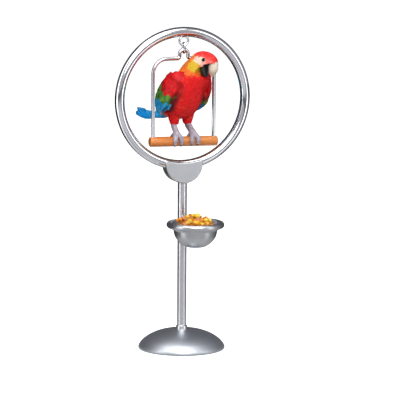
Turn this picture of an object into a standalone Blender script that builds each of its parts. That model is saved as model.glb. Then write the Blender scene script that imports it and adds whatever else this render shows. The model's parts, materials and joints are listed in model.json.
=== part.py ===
"""A painted toy macaw on a wooden perch, hung in a metal ring on its own stand with a food bowl.

The origin is the middle of the base's underside on the floor. +Z is up, the front is -Y,
and the ring and the perch lie along X. All sizes are in metres.
"""

import math

import bmesh
import bpy
from mathutils import Matrix, Vector

MM = 0.001
GAP = 0.3 * MM

BASE_RADIUS = 30.5 * MM
BASE_HEIGHT = 14.0 * MM
POLE_RADIUS = 3.25 * MM
POLE_TOP = 117.3 * MM
COLLAR_RADIUS = 3.9 * MM
COLLAR_TOP = 16.4 * MM

RING_CENTRE_Z = 177.0 * MM
RING_RADIUS = 46.4 * MM
RING_TUBE_RADIUS = 3.6 * MM

HOLDER_WIDTH = 25.4 * MM
HOLDER_DEPTH = 10.0 * MM
HOLDER_TOP_RADIUS = 44.6 * MM
HOLDER_BOTTOM_Z = 117.7 * MM

EYE_LOOP_RADIUS = 3.2 * MM
EYE_WIRE_RADIUS = 0.8 * MM
EYE_LOOP_Z = 217.3 * MM

LINK_WIRE_RADIUS = 0.7 * MM
LINK_HALF_WIDTH = 2.35 * MM
LINK_TOP_Z = 215.9 * MM
LINK_BOTTOM_Z = 208.8 * MM

HANG_X = 0.6 * MM
SWING_WIRE_RADIUS = 1.3 * MM
SWING_TOP_Z = 205.0 * MM
SWING_HALF_WIDTH = 22.55 * MM
SWING_CORNER_RADIUS = 10.0 * MM
SWING_LOOP_HALF = 3.1 * MM
SWING_LOOP_TOP_Z = 211.1 * MM

PERCH_Z = 146.9 * MM
PERCH_RADIUS = 3.45 * MM
PERCH_LENGTH = 50.0 * MM
PERCH_ROUNDING = 1.1 * MM
PERCH_TILT = math.radians(1.2)

BOWL_FORWARD = 26.4 * MM
BOWL_RIM_RADIUS = 18.2 * MM
BOWL_RIM_Z = 92.0 * MM
BOWL_BODY_RADIUS = 15.3 * MM
BOWL_BOTTOM_Z = 76.4 * MM
BOWL_WALL = 0.9 * MM
BRACKET_Z = 85.0 * MM

BIRD_YAW = math.radians(8)
BIRD_MIDLINE = 1.5 * MM
HEAD_YAW = math.radians(38)
HEAD_FORWARD = 18.0 * MM
HEAD_LEFT = 7.2 * MM
HEAD_Z = 203.2 * MM
HEAD_HALF_LENGTH = 11.0 * MM
HEAD_HALF_WIDTH = 7.7 * MM
HEAD_HALF_HEIGHT = 8.3 * MM

SIDES = 18

# Spine stations from the tail coverts to the neck: forward, up, half width, half depth, aside (mm).
SPINE = (
    (-35.0, 162.4, 3.0, 1.8, 0.0),
    (-25.0, 164.8, 5.6, 3.6, 0.0),
    (-14.5, 168.2, 9.4, 7.0, 0.0),
    (-5.8, 171.6, 12.0, 9.7, 0.0),
    (0.2, 177.0, 12.8, 11.0, 0.0),
    (5.0, 183.6, 12.2, 10.8, 0.0),
    (9.0, 190.5, 11.2, 10.6, 0.2),
    (12.4, 196.6, 10.0, 10.0, 0.8),
    (14.8, 201.6, 8.4, 8.6, 2.0),
    (16.6, 205.6, 6.2, 6.4, 3.2),
)
NECK_CUT = 0.71
HEAD_CUT = 0.84

# Wing stations from shoulder to tip: forward, up, half width, half depth (mm),
# lower edge and upper edge as angles round the body from the breast (degrees), thickness (mm).
WING = (
    (11.0, 195.2, 11.0, 10.4, 68, 98, 1.0),
    (9.0, 192.6, 13.2, 12.0, 59, 108, 2.0),
    (6.4, 189.9, 15.2, 13.2, 53, 128, 2.8),
    (3.0, 187.0, 17.0, 14.0, 51, 152, 3.0),
    (-2.0, 181.6, 18.2, 14.6, 52, 162, 3.0),
    (-7.0, 176.6, 18.2, 14.2, 56, 166, 2.6),
    (-12.0, 172.2, 16.6, 13.0, 62, 167, 2.2),
    (-16.2, 168.8, 14.2, 11.4, 72, 166, 1.8),
    (-20.0, 166.9, 12.0, 9.8, 98, 165, 1.5),
    (-25.2, 165.6, 9.8, 8.5, 134, 158, 0.9),
)
LEFT_WING_FORWARD = 2.5
LEFT_WING_SPREAD = 0.8
WING_FILL = 6.5

# Tail stations from root to tip: forward, up, half width, ridge height, side drop, thickness (mm).
TAIL = (
    (-27.0, 163.8, 4.4, 1.7, 3.0, 1.7),
    (-40.0, 161.7, 5.2, 2.0, 4.0, 1.8),
    (-54.0, 160.7, 4.8, 2.0, 4.0, 1.6),
    (-66.5, 161.2, 4.0, 1.9, 3.6, 1.4),
)
TAIL_TIP_FORWARD = -71.5

# Leg stations from hip to ankle: forward, up, half width, half depth (mm).
THIGH = (
    (-6.4, 172.0, 3.8, 5.2),
    (-6.6, 168.0, 4.8, 5.7),
    (-6.8, 163.8, 4.5, 5.1),
    (-6.7, 160.4, 3.5, 3.9),
    (-6.4, 158.0, 2.8, 3.0),
)
LEG_RIGHT = -4.5 * MM
LEG_LEFT = 5.9 * MM
FOOT_RIGHT_X = -4.5 * MM
FOOT_LEFT_X = 7.9 * MM

NUGGETS = 14


def clear_scene():
    for obj in list(bpy.data.objects):
        bpy.data.objects.remove(obj, do_unlink=True)


def make_collection(name, hidden):
    made = bpy.data.collections.new(name)
    made.hide_render = hidden
    bpy.context.scene.collection.children.link(made)
    return made


clear_scene()
PARTS = make_collection("toy_macaw_on_swing", False)
CUTTERS = make_collection("cutters", True)


def material(name, colour, metallic, roughness):
    made = bpy.data.materials.new(name)
    made.use_nodes = True
    shader = made.node_tree.nodes["Principled BSDF"]
    shader.inputs["Base Color"].default_value = (*colour, 1.0)
    shader.inputs["Metallic"].default_value = metallic
    shader.inputs["Roughness"].default_value = roughness
    made.diffuse_color = (*colour, 1.0)
    return made


def polished_steel(name):
    return material(name, (0.78, 0.79, 0.81), 1.0, 0.12)


def satin_steel(name):
    return material(name, (0.55, 0.56, 0.58), 1.0, 0.32)


def paint(name, colour):
    return material(name, colour, 0.0, 0.35)


def wood(name):
    return material(name, (0.62, 0.27, 0.08), 0.0, 0.5)


def place(obj, collection):
    for other in list(obj.users_collection):
        other.objects.unlink(obj)
    collection.objects.link(obj)
    helper = collection is CUTTERS
    obj.hide_render = helper
    obj.display_type = "WIRE" if helper else "TEXTURED"
    return obj


def mesh_object(name, points, faces, collection):
    mesh = bpy.data.meshes.new(name)
    mesh.from_pydata([tuple(p) for p in points], [], faces)
    work = bmesh.new()
    work.from_mesh(mesh)
    bmesh.ops.remove_doubles(work, verts=work.verts, dist=0.002 * MM)
    bmesh.ops.recalc_face_normals(work, faces=work.faces)
    work.to_mesh(mesh)
    work.free()
    obj = bpy.data.objects.new(name, mesh)
    collection.objects.link(obj)
    return place(obj, collection)


def finish(obj, surface):
    obj.data.materials.clear()
    obj.data.materials.append(surface)
    return obj


def apply_modifiers(obj):
    graph = bpy.context.evaluated_depsgraph_get()
    mesh = bpy.data.meshes.new_from_object(obj.evaluated_get(graph))
    obj.modifiers.clear()
    obj.data = mesh
    return obj


def combine(obj, other, operation):
    modifier = obj.modifiers.new(operation.lower(), "BOOLEAN")
    modifier.operation = operation
    modifier.solver = "EXACT"
    modifier.object = other
    return apply_modifiers(obj)


def cut(obj, *cutters):
    for cutter in cutters:
        combine(obj, cutter, "DIFFERENCE")
    return obj


def turned(name, profile, steps, collection):
    """A turned piece: the profile (radius, height) runs down its outer side."""
    mesh = bpy.data.meshes.new(name)
    points = [(radius, 0.0, height) for radius, height in profile]
    mesh.from_pydata(points, [(i, i + 1) for i in range(len(points) - 1)], [])
    obj = bpy.data.objects.new(name, mesh)
    collection.objects.link(obj)
    screw = obj.modifiers.new("turn", "SCREW")
    screw.steps = steps
    screw.render_steps = steps
    screw.use_merge_vertices = True
    screw.merge_threshold = 0.00001
    apply_modifiers(obj)
    work = bmesh.new()
    work.from_mesh(obj.data)
    bmesh.ops.recalc_face_normals(work, faces=work.faces)
    work.to_mesh(obj.data)
    work.free()
    return place(obj, collection)


def bent_wire(name, points, radius, resolution, closed, collection):
    curve = bpy.data.curves.new(name, "CURVE")
    curve.dimensions = "3D"
    curve.bevel_depth = radius
    curve.bevel_resolution = resolution
    curve.use_fill_caps = not closed
    line = curve.splines.new("POLY")
    line.points.add(len(points) - 1)
    for point, place_at in zip(line.points, points):
        point.co = (*place_at, 1.0)
    line.use_cyclic_u = closed
    draft = bpy.data.objects.new(name + "_draft", curve)
    collection.objects.link(draft)
    graph = bpy.context.evaluated_depsgraph_get()
    mesh = bpy.data.meshes.new_from_object(draft.evaluated_get(graph))
    bpy.data.objects.remove(draft, do_unlink=True)
    work = bmesh.new()
    work.from_mesh(mesh)
    bmesh.ops.remove_doubles(work, verts=work.verts, dist=0.01 * MM)
    bmesh.ops.recalc_face_normals(work, faces=work.faces)
    work.to_mesh(mesh)
    work.free()
    obj = bpy.data.objects.new(name, mesh)
    collection.objects.link(obj)
    return place(obj, collection)


def ring_tube(name, radius, tube, around, section, centre, collection):
    bpy.ops.mesh.primitive_torus_add(
        major_segments=around,
        minor_segments=section,
        major_radius=radius,
        minor_radius=tube,
        location=centre,
        rotation=(math.pi / 2, 0.0, 0.0),
    )
    obj = bpy.context.object
    obj.name = name
    obj.data.transform(obj.matrix_world)
    obj.matrix_world = Matrix.Identity(4)
    return place(obj, collection)


def cylinder(name, radius, start, end, sides, collection):
    axis = end - start
    bpy.ops.mesh.primitive_cylinder_add(vertices=sides, radius=radius, depth=axis.length)
    obj = bpy.context.object
    obj.name = name
    turn = Vector((0.0, 0.0, 1.0)).rotation_difference(axis).to_matrix().to_4x4()
    obj.data.transform(Matrix.Translation((start + end) / 2) @ turn)
    return place(obj, collection)


def box(name, low, high, collection):
    bpy.ops.mesh.primitive_cube_add(size=1.0)
    obj = bpy.context.object
    obj.name = name
    size = [b - a for a, b in zip(low, high)]
    middle = [(a + b) / 2 for a, b in zip(low, high)]
    obj.data.transform(Matrix.Translation(middle) @ Matrix.Diagonal((*size, 1.0)))
    return place(obj, collection)


def loft(name, rings, collection):
    """A closed solid through rings of equal point counts, capped flat at both ends."""
    count = len(rings[0])
    points = [p for ring in rings for p in ring]
    faces = []
    for row in range(len(rings) - 1):
        for i in range(count):
            a = row * count + i
            b = row * count + (i + 1) % count
            faces.append((a, b, b + count, a + count))
    faces.append(tuple(range(count - 1, -1, -1)))
    faces.append(tuple(range((len(rings) - 1) * count, len(rings) * count)))
    return mesh_object(name, points, faces, collection)


def smooth_row(rows, t):
    """A row of station values at t from 0 to 1, by a smooth curve through the rows."""
    span = (len(rows) - 1) * min(max(t, 0.0), 1.0)
    i = min(int(span), len(rows) - 2)
    u = span - i
    before = rows[max(i - 1, 0)]
    after = rows[min(i + 2, len(rows) - 1)]
    found = []
    for p0, p1, p2, p3 in zip(before, rows[i], rows[i + 1], after):
        a = 2 * p1
        b = (p2 - p0) * u
        c = (2 * p0 - 5 * p1 + 4 * p2 - p3) * u * u
        d = (3 * p1 - p0 - 3 * p2 + p3) * u * u * u
        found.append((a + b + c + d) / 2)
    return found


FORWARD = Vector((math.sin(BIRD_YAW), -math.cos(BIRD_YAW), 0.0))
LEFT = Vector((math.cos(BIRD_YAW), math.sin(BIRD_YAW), 0.0))
UP = Vector((0.0, 0.0, 1.0))


def bird_point(forward, left, up):
    """A place in the bird's own directions, left measured from its midline."""
    return FORWARD * forward + LEFT * (left + BIRD_MIDLINE) + UP * up


def station_directions(rows, t):
    """Breast-side direction of a station, square to the line through the rows."""
    step = 0.02
    ahead = smooth_row(rows, t + step)
    behind = smooth_row(rows, t - step)
    along = Vector((ahead[0] - behind[0], ahead[1] - behind[1])).normalized()
    return Vector((along.y, -along.x))


def body_rings(rows, count, grow, side):
    """Oval rings along a row of stations, grown all round by the given amount."""
    rings = []
    for step in range(count):
        t = step / (count - 1)
        row = smooth_row(rows, t)
        breast = station_directions(rows, t)
        half_width = row[2] * MM + grow
        half_depth = row[3] * MM + grow
        ring = []
        for i in range(SIDES):
            angle = 2 * math.pi * i / SIDES
            toward = half_depth * math.cos(angle)
            forward = row[0] * MM + breast.x * toward
            up = row[1] * MM + breast.y * toward
            aside = side + (row[4] * MM if len(row) > 4 else 0.0)
            ring.append(bird_point(forward, aside + half_width * math.sin(angle), up))
        rings.append(ring)
    return rings


def head_matrix():
    """Turns and places a shape modelled facing +X with its left side at +Y."""
    forward = Vector((math.sin(HEAD_YAW), -math.cos(HEAD_YAW), 0.0))
    left = Vector((math.cos(HEAD_YAW), math.sin(HEAD_YAW), 0.0))
    centre = FORWARD * HEAD_FORWARD + LEFT * HEAD_LEFT + UP * HEAD_Z
    turn = Matrix((forward, left, UP)).transposed().to_4x4()
    return Matrix.Translation(centre) @ turn


def head_shape(name, grow, collection):
    bpy.ops.mesh.primitive_uv_sphere_add(segments=18, ring_count=10, radius=1.0)
    obj = bpy.context.object
    obj.name = name
    size = [HEAD_HALF_LENGTH + grow, HEAD_HALF_WIDTH + grow, HEAD_HALF_HEIGHT + grow]
    obj.data.transform(Matrix.Diagonal((*size, 1.0)))
    obj.data.transform(Matrix.Rotation(math.radians(8), 4, "Y"))
    obj.data.transform(head_matrix())
    return place(obj, collection)


def half_space(name, point, normal, collection):
    """A big block on the side of the plane that the normal points to."""
    size = 90 * MM
    obj = box(name, (-size, -size, 0.0), (size, size, 2 * size), collection)
    turn = UP.rotation_difference(normal).to_matrix().to_4x4()
    obj.data.transform(Matrix.Translation(point) @ turn)
    return obj


def spine_plane(t):
    row = smooth_row(SPINE, t)
    breast = station_directions(SPINE, t)
    along = FORWARD * -breast.y + UP * breast.x
    return bird_point(row[0] * MM, 0.0, row[1] * MM), along


def whole_body(name, grow, collection):
    body = loft(name, body_rings(SPINE, 15, grow, 0.0), collection)
    skull = head_shape(name + "_skull", grow, CUTTERS)
    return combine(body, skull, "UNION")


def copy_of(obj, name, collection):
    made = bpy.data.objects.new(name, obj.data.copy())
    collection.objects.link(made)
    return place(made, collection)


def body_pieces():
    whole = whole_body("whole_body", 0.0, CUTTERS)
    neck_point, neck_along = spine_plane(NECK_CUT)
    head_point, head_along = spine_plane(HEAD_CUT)
    half = GAP / 2
    above_neck = half_space("above_neck", neck_point - neck_along * half, neck_along, CUTTERS)
    below_neck = half_space("below_neck", neck_point + neck_along * half, -neck_along, CUTTERS)
    above_head = half_space("above_head", head_point - head_along * half, head_along, CUTTERS)
    below_head = half_space("below_head", head_point + head_along * half, -head_along, CUTTERS)
    red = (0.72, 0.025, 0.02)
    trunk = cut(copy_of(whole, "trunk", PARTS), above_neck)
    neck = cut(copy_of(whole, "neck", PARTS), below_neck, above_head)
    head = cut(copy_of(whole, "head", PARTS), below_head)
    finish(trunk, paint("trunk_paint", red))
    finish(neck, paint("neck_paint", (0.80, 0.25, 0.03)))
    finish(head, paint("head_paint", (0.75, 0.04, 0.03)))
    return trunk, neck, head


def wing(name, side, shift, spread):
    """A curved shell round the flank, mirrored to one side."""
    rings = []
    across = 7
    for step in range(13):
        t = step / 12
        forward, up, half_width, half_depth, low, high, thick = smooth_row(WING, t)
        breast = station_directions(WING, t) * -1
        outer = []
        inner = []
        for i in range(across):
            s = i / (across - 1)
            angle = math.radians(low + (high - low) * s)
            edge = math.sin(math.pi * (0.12 + 0.76 * s)) ** 0.6
            fill = WING_FILL * math.sin(math.pi * s) ** 1.5 * math.sin(math.pi * min(t + 0.15, 1.0))
            for ring, depth in ((outer, 0.0), (inner, thick * edge + fill)):
                toward = (half_depth - depth) * math.cos(angle)
                out = (half_width + spread - depth) * math.sin(angle)
                ring.append(
                    bird_point(
                        (forward + shift + breast.x * toward) * MM,
                        side * out * MM,
                        (up + breast.y * toward) * MM,
                    )
                )
        rings.append(outer + inner[::-1])
    return loft(name, rings, PARTS)


def tail():
    rings = []
    for step in range(7):
        forward, up, half, ridge, drop, thick = smooth_row(TAIL, step / 6)
        rings.append(roof_ring(forward, up, half, ridge, drop, thick))
    blade = loft("tail", rings, PARTS)
    tips = ((0.0, 2.1, 0.0), (0.66, 1.9, 3.2), (-0.66, 1.9, 3.6))
    for number, (across, half, short) in enumerate(tips):
        combine(blade, feather_tip(f"tail_tip_{number}", across, half, short), "UNION")
    return blade


def roof_ring(forward, up, half, ridge, drop, thick):
    """Section of the folded tail: a ridge along the top and the sides sloping down."""
    across = (-1.0, -0.66, -0.33, 0.0, 0.33, 0.66, 1.0)
    top = [(s * half, up + ridge - drop * abs(s) ** 1.4) for s in across]
    under = [(s * half * 0.97, z - thick) for s, z in reversed(top_pairs(across, top))]
    return [bird_point(forward * MM, left * MM, z * MM) for left, z in top + under]


def top_pairs(across, top):
    return [(s, z) for s, (_, z) in zip(across, top)]


def feather_tip(name, across, half, short):
    """The rounded end of one group of tail feathers, its side ones shorter."""
    forward, up, tail_half, ridge, drop, thick = TAIL[-1]
    middle = across * tail_half
    height = up + ridge - drop * abs(across) ** 1.4
    rings = []
    for step in range(5):
        t = step / 4
        along = forward + 4.7 + (TAIL_TIP_FORWARD + short - forward - 4.7) * t
        width = half * (1.0 - t ** 3) ** 0.5 + 0.3
        low = height - thick * (0.78 - 0.2 * t)
        high = height + 0.23 - 0.4 * t
        ring = [(-width, low), (-width, high - 0.3), (0.0, high), (width, high - 0.3), (width, low)]
        rings.append([bird_point(along * MM, (middle + a) * MM, z * MM) for a, z in ring])
    return loft(name, rings, CUTTERS)


def thigh(name, side):
    return loft(name, body_rings(THIGH, 6, 0.0, side), PARTS)


def foot(name, side, foot_x):
    """A short shank that runs down and forward into two front toes and a hind toe."""
    ankle = bird_point(-6.4 * MM, side, 157.6 * MM)
    knuckle = Vector((foot_x, -0.9 * MM, PERCH_Z + PERCH_RADIUS + 1.7 * MM))
    solid = tapered("shank_" + name, [ankle, (ankle + knuckle) / 2, knuckle], [2.6, 2.8, 3.1])
    solid.name = name
    for number, spread in enumerate((-2.3, 2.3)):
        toe = tapered(f"toe_{name}_{number}", toe_line(foot_x, spread, -1.0), [2.3, 2.0, 1.9, 1.7, 1.2])
        combine(solid, toe, "UNION")
    hind = tapered(f"toe_{name}_hind", toe_line(foot_x - 0.8 * MM, -1.2, 1.0), [2.2, 1.9, 1.7, 1.5, 1.0])
    combine(solid, hind, "UNION")
    return place(solid, PARTS)


def toe_line(foot_x, spread, way):
    """Points over the perch, from the knuckle down its front (-1) or its back (+1)."""
    points = []
    for step in range(5):
        angle = math.radians(4 + 104 * step / 4)
        reach = PERCH_RADIUS + (1.5 - 0.5 * step / 4) * MM
        across = foot_x + spread * MM * (0.35 + 0.65 * min(step / 2.0, 1.0))
        points.append(
            Vector((across, way * reach * math.sin(angle), PERCH_Z + reach * math.cos(angle)))
        )
    return points


def tapered(name, line, radii):
    """A round-ended limb through the points with its own radius at each (mm)."""
    rings = []
    last = len(line) - 1
    for i, point in enumerate(line):
        along = (line[min(i + 1, last)] - line[max(i - 1, 0)]).normalized()
        side = along.cross(Vector((1.0, 0.0, 0.0))).normalized()
        other = along.cross(side)
        rows = [(0.0, 1.0)]
        if i == 0:
            rows = [(-0.7, 0.62), (0.0, 1.0)]
        if i == last:
            rows = [(0.0, 1.0), (0.7, 0.62)]
        for shift, scale in rows:
            radius = radii[i] * MM
            middle = point + along * shift * radius
            ring = []
            for k in range(8):
                angle = 2 * math.pi * k / 8
                ring.append(middle + (side * math.cos(angle) + other * math.sin(angle)) * radius * scale)
            rings.append(ring)
    return loft(name, rings, CUTTERS)


def bill_ring(forward, up, half_width, half_height, turn):
    ring = []
    for i in range(10):
        angle = 2 * math.pi * i / 10
        high = half_height * math.cos(angle)
        ring.append(
            Vector(
                (
                    (forward + high * math.sin(turn)) * MM,
                    half_width * math.sin(angle) * MM,
                    (up + high * math.cos(turn)) * MM,
                )
            )
        )
    return ring


# Bill stations from the face to the tip: forward, up, half width, half depth (mm), turn (degrees).
BILL_UPPER = (
    (8.3, 1.4, 3.0, 3.3, 78),
    (8.0, -0.8, 3.2, 3.5, 84),
    (7.4, -3.2, 3.3, 3.5, 92),
    (6.9, -5.6, 3.0, 3.2, 96),
    (6.5, -8.2, 2.2, 2.5, 98),
    (6.1, -10.8, 0.8, 0.9, 100),
)
BILL_LOWER = (
    (2.2, -2.4, 3.8, 1.3, 66),
    (1.0, -3.8, 4.4, 1.9, 78),
    (0.7, -5.8, 4.2, 2.1, 90),
    (0.8, -7.8, 3.2, 1.9, 100),
    (1.3, -9.4, 1.6, 1.1, 110),
)
# Round notches across the face where the bill sits: forward, up, radius (mm).
UPPER_NOTCH = (8.2, -6.9, 7.1)
LOWER_NOTCH = (1.9, -6.1, 3.8)


def notch(name, place_at, grow):
    forward, up, radius = place_at
    obj = cylinder(
        name,
        (radius + grow) * MM,
        Vector((forward * MM, -12 * MM, up * MM)),
        Vector((forward * MM, 12 * MM, up * MM)),
        36,
        CUTTERS,
    )
    obj.data.transform(head_matrix())
    return obj


def bill(name, rows, count, surface):
    rings = []
    for step in range(count):
        forward, up, half_width, half_height, turn = smooth_row(rows, step / (count - 1))
        rings.append(bill_ring(forward, up, half_width, half_height, math.radians(turn)))
    obj = loft(name, rings, PARTS)
    obj.data.transform(head_matrix())
    return finish(obj, surface)


def eyeball(name, side, radius, collection):
    bpy.ops.mesh.primitive_uv_sphere_add(segments=10, ring_count=6, radius=radius)
    obj = bpy.context.object
    obj.name = name
    place_at = Vector((3.0 * MM, side * 6.45 * MM, 3.0 * MM))
    obj.data.transform(head_matrix() @ Matrix.Translation(place_at))
    return place(obj, collection)


def build_bird():
    trunk, neck, head = body_pieces()
    cut(head, notch("upper_notch", UPPER_NOTCH, 0.0), notch("lower_notch", LOWER_NOTCH, 0.0))
    cut(neck, notch("neck_notch", LOWER_NOTCH, 0.0))
    grown = whole_body("grown_body", GAP, CUTTERS)
    cut(grown, notch("space_upper", UPPER_NOTCH, -0.3), notch("space_lower", LOWER_NOTCH, -0.3))
    upper = bill("bill_upper", BILL_UPPER, 8, paint("bill_upper_paint", (0.80, 0.70, 0.58)))
    cut(upper, grown)
    grown_upper = bill("grown_upper", grown_rows(BILL_UPPER), 8, upper.data.materials[0])
    place(grown_upper, CUTTERS)
    lower = bill("bill_lower", BILL_LOWER, 6, paint("bill_lower_paint", (0.02, 0.02, 0.02)))
    cut(lower, grown, grown_upper)
    for name, side in (("eye_right", -1), ("eye_left", 1)):
        cut(head, eyeball(name + "_socket", side, 1.45 * MM, CUTTERS))
        finish(eyeball(name, side, 1.15 * MM, PARTS), paint(name + "_paint", (0.01, 0.01, 0.01)))
    wings = (("wing_right", -1, 0.0, 0.0), ("wing_left", 1, LEFT_WING_FORWARD, LEFT_WING_SPREAD))
    for name, side, shift, spread in wings:
        cut(finish(wing(name, side, shift, spread), paint(name + "_paint", (0.05, 0.22, 0.08))), grown)
    fan = finish(tail(), paint("tail_paint", (0.0, 0.14, 0.45)))
    cut(fan, grown)
    for name, side in (("thigh_right", LEG_RIGHT), ("thigh_left", LEG_LEFT)):
        leg = finish(thigh(name, side), paint(name + "_paint", (0.70, 0.03, 0.02)))
        cut(leg, grown)
    droop = PERCH_LENGTH * math.tan(PERCH_TILT)
    grip = cylinder(
        "grip",
        PERCH_RADIUS + GAP,
        Vector((HANG_X - PERCH_LENGTH, 0.0, PERCH_Z + droop)),
        Vector((HANG_X + PERCH_LENGTH, 0.0, PERCH_Z - droop)),
        20,
        CUTTERS,
    )
    feet = (("foot_right", LEG_RIGHT, FOOT_RIGHT_X), ("foot_left", LEG_LEFT, FOOT_LEFT_X))
    for name, side, foot_x in feet:
        made = foot(name, side, foot_x)
        finish(made, paint(name + "_paint", (0.42, 0.39, 0.42)))
        rows = [(f, z - 0.3, w + 0.3, d + 0.3) for f, z, w, d in THIGH]
        sleeve = loft(name + "_sleeve", body_rings(rows, 6, 0.0, side), CUTTERS)
        cut(made, grip, sleeve)


def grown_rows(rows):
    return [(f, z, w + 0.3, h + 0.3, turn) for f, z, w, h, turn in rows]


def base():
    profile = [
        (0.0, BASE_HEIGHT),
        (4.4 * MM, BASE_HEIGHT - 0.1 * MM),
        (12.0 * MM, 13.0 * MM),
        (18.5 * MM, 11.2 * MM),
        (23.5 * MM, 8.8 * MM),
        (27.4 * MM, 6.0 * MM),
        (29.8 * MM, 3.0 * MM),
        (BASE_RADIUS, 1.1 * MM),
        (30.2 * MM, 0.3 * MM),
        (29.6 * MM, 0.0),
        (0.0, 0.0),
    ]
    return finish(turned("stand_base", profile, 32, PARTS), satin_steel("base_steel"))


def pole():
    foot_z = BASE_HEIGHT + GAP
    profile = [
        (0.0, POLE_TOP),
        (POLE_RADIUS - 0.3 * MM, POLE_TOP),
        (POLE_RADIUS, POLE_TOP - 0.3 * MM),
        (POLE_RADIUS, COLLAR_TOP),
        (COLLAR_RADIUS - 0.2 * MM, COLLAR_TOP - 0.2 * MM),
        (COLLAR_RADIUS, COLLAR_TOP - 0.7 * MM),
        (COLLAR_RADIUS, foot_z),
        (0.0, foot_z),
    ]
    return finish(turned("stand_pole", profile, 18, PARTS), polished_steel("pole_steel"))


def ring():
    centre = (0.0, 0.0, RING_CENTRE_Z)
    obj = ring_tube("stand_ring", RING_RADIUS, RING_TUBE_RADIUS, 48, 10, centre, PARTS)
    return finish(obj, polished_steel("ring_steel"))


def half_moon(name, depth, collection):
    """A plate cut out between the ring's curve above and a near half circle below."""
    half = HOLDER_WIDTH / 2
    top_radius = HOLDER_TOP_RADIUS
    corner_z = RING_CENTRE_Z - math.sqrt(top_radius ** 2 - half ** 2)
    sagitta = corner_z - HOLDER_BOTTOM_Z
    low_radius = (half ** 2 + sagitta ** 2) / (2 * sagitta)
    low_centre = HOLDER_BOTTOM_Z + low_radius
    reach = math.asin(half / low_radius)
    if sagitta > low_radius:
        reach = math.pi - reach
    outline = []
    for step in range(9):
        angle = math.asin(half / top_radius) * (1 - 2 * step / 8)
        radius = top_radius
        outline.append((radius * math.sin(angle), RING_CENTRE_Z - radius * math.cos(angle)))
    for step in range(1, 16):
        angle = -reach + 2 * reach * step / 16
        outline.append((low_radius * math.sin(angle), low_centre - low_radius * math.cos(angle)))
    front = [Vector((x, -depth / 2, z)) for x, z in outline]
    back = [Vector((x, depth / 2, z)) for x, z in outline]
    obj = loft(name, [front, back], collection)
    bevel = obj.modifiers.new("edges", "BEVEL")
    bevel.width = 0.6 * MM
    bevel.segments = 2
    bevel.limit_method = "ANGLE"
    bevel.angle_limit = math.radians(40)
    return apply_modifiers(obj)


def holder():
    obj = half_moon("stand_holder", HOLDER_DEPTH, PARTS)
    groove = ring_tube(
        "groove", RING_RADIUS, RING_TUBE_RADIUS + GAP, 48, 10, (0.0, 0.0, RING_CENTRE_Z), CUTTERS
    )
    cut(obj, groove)
    return finish(obj, satin_steel("holder_steel"))


def eye_loop():
    centre = (HANG_X, 0.0, EYE_LOOP_Z)
    obj = ring_tube("stand_eye", EYE_LOOP_RADIUS, EYE_WIRE_RADIUS, 18, 6, centre, PARTS)
    slot = ring_tube(
        "eye_slot", RING_RADIUS, RING_TUBE_RADIUS + GAP, 48, 10, (0.0, 0.0, RING_CENTRE_Z), CUTTERS
    )
    cut(obj, slot)
    return finish(obj, polished_steel("eye_steel"))


def link():
    low = LINK_BOTTOM_Z + LINK_HALF_WIDTH
    high = LINK_TOP_Z - LINK_HALF_WIDTH
    points = []
    for middle, start in ((high, 0.0), (low, math.pi)):
        for step in range(9):
            angle = start + math.pi * step / 8
            y = LINK_HALF_WIDTH * math.cos(angle)
            points.append((HANG_X, y, middle + LINK_HALF_WIDTH * math.sin(angle)))
    obj = bent_wire("hook_link", points, LINK_WIRE_RADIUS, 1, True, PARTS)
    return finish(obj, polished_steel("link_steel"))


def arc(centre_x, centre_z, radius, start, end, steps):
    points = []
    for step in range(steps + 1):
        angle = math.radians(start + (end - start) * step / steps)
        points.append((centre_x + radius * math.cos(angle), 0.0, centre_z + radius * math.sin(angle)))
    return points


def swing_wire():
    """One length of wire: loop in the middle, level shoulders, round corners, two uprights."""
    fillet = 1.7 * MM
    loop_z = SWING_LOOP_TOP_Z - SWING_LOOP_HALF
    corner_x = SWING_HALF_WIDTH - SWING_CORNER_RADIUS
    corner_z = SWING_TOP_Z - SWING_CORNER_RADIUS
    right = arc(0.0, loop_z, SWING_LOOP_HALF, 90, 0, 5)
    right += arc(SWING_LOOP_HALF + fillet, SWING_TOP_Z + fillet, fillet, 180, 270, 4)
    right += arc(corner_x, corner_z, SWING_CORNER_RADIUS, 90, 0, 7)
    right.append((SWING_HALF_WIDTH, 0.0, PERCH_Z + 1.0 * MM))
    points = [(HANG_X - x, y, z) for x, y, z in reversed(right[1:])]
    points += [(HANG_X + x, y, z) for x, y, z in right]
    obj = bent_wire("swing_wire", points, SWING_WIRE_RADIUS, 1, False, PARTS)
    return finish(obj, polished_steel("swing_steel"))


def perch():
    half = PERCH_LENGTH / 2
    profile = [
        (0.0, half),
        (PERCH_RADIUS - PERCH_ROUNDING, half),
        (PERCH_RADIUS - 0.3 * PERCH_ROUNDING, half - 0.3 * PERCH_ROUNDING),
        (PERCH_RADIUS, half - PERCH_ROUNDING),
        (PERCH_RADIUS, -half + PERCH_ROUNDING),
        (PERCH_RADIUS - 0.3 * PERCH_ROUNDING, -half + 0.3 * PERCH_ROUNDING),
        (PERCH_RADIUS - PERCH_ROUNDING, -half),
        (0.0, -half),
    ]
    obj = turned("perch", profile, 20, PARTS)
    lay = Matrix.Rotation(math.pi / 2 + PERCH_TILT, 4, "Y")
    obj.data.transform(Matrix.Translation((HANG_X, 0.0, PERCH_Z)) @ lay)
    for side in (-1, 1):
        x = HANG_X + side * SWING_HALF_WIDTH
        hole = cylinder(
            f"perch_hole_{side}",
            SWING_WIRE_RADIUS + GAP,
            Vector((x, 0.0, PERCH_Z + 0.6 * MM)),
            Vector((x, 0.0, PERCH_Z + 9.0 * MM)),
            12,
            CUTTERS,
        )
        cut(obj, hole)
    return finish(obj, wood("perch_wood"))


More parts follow.
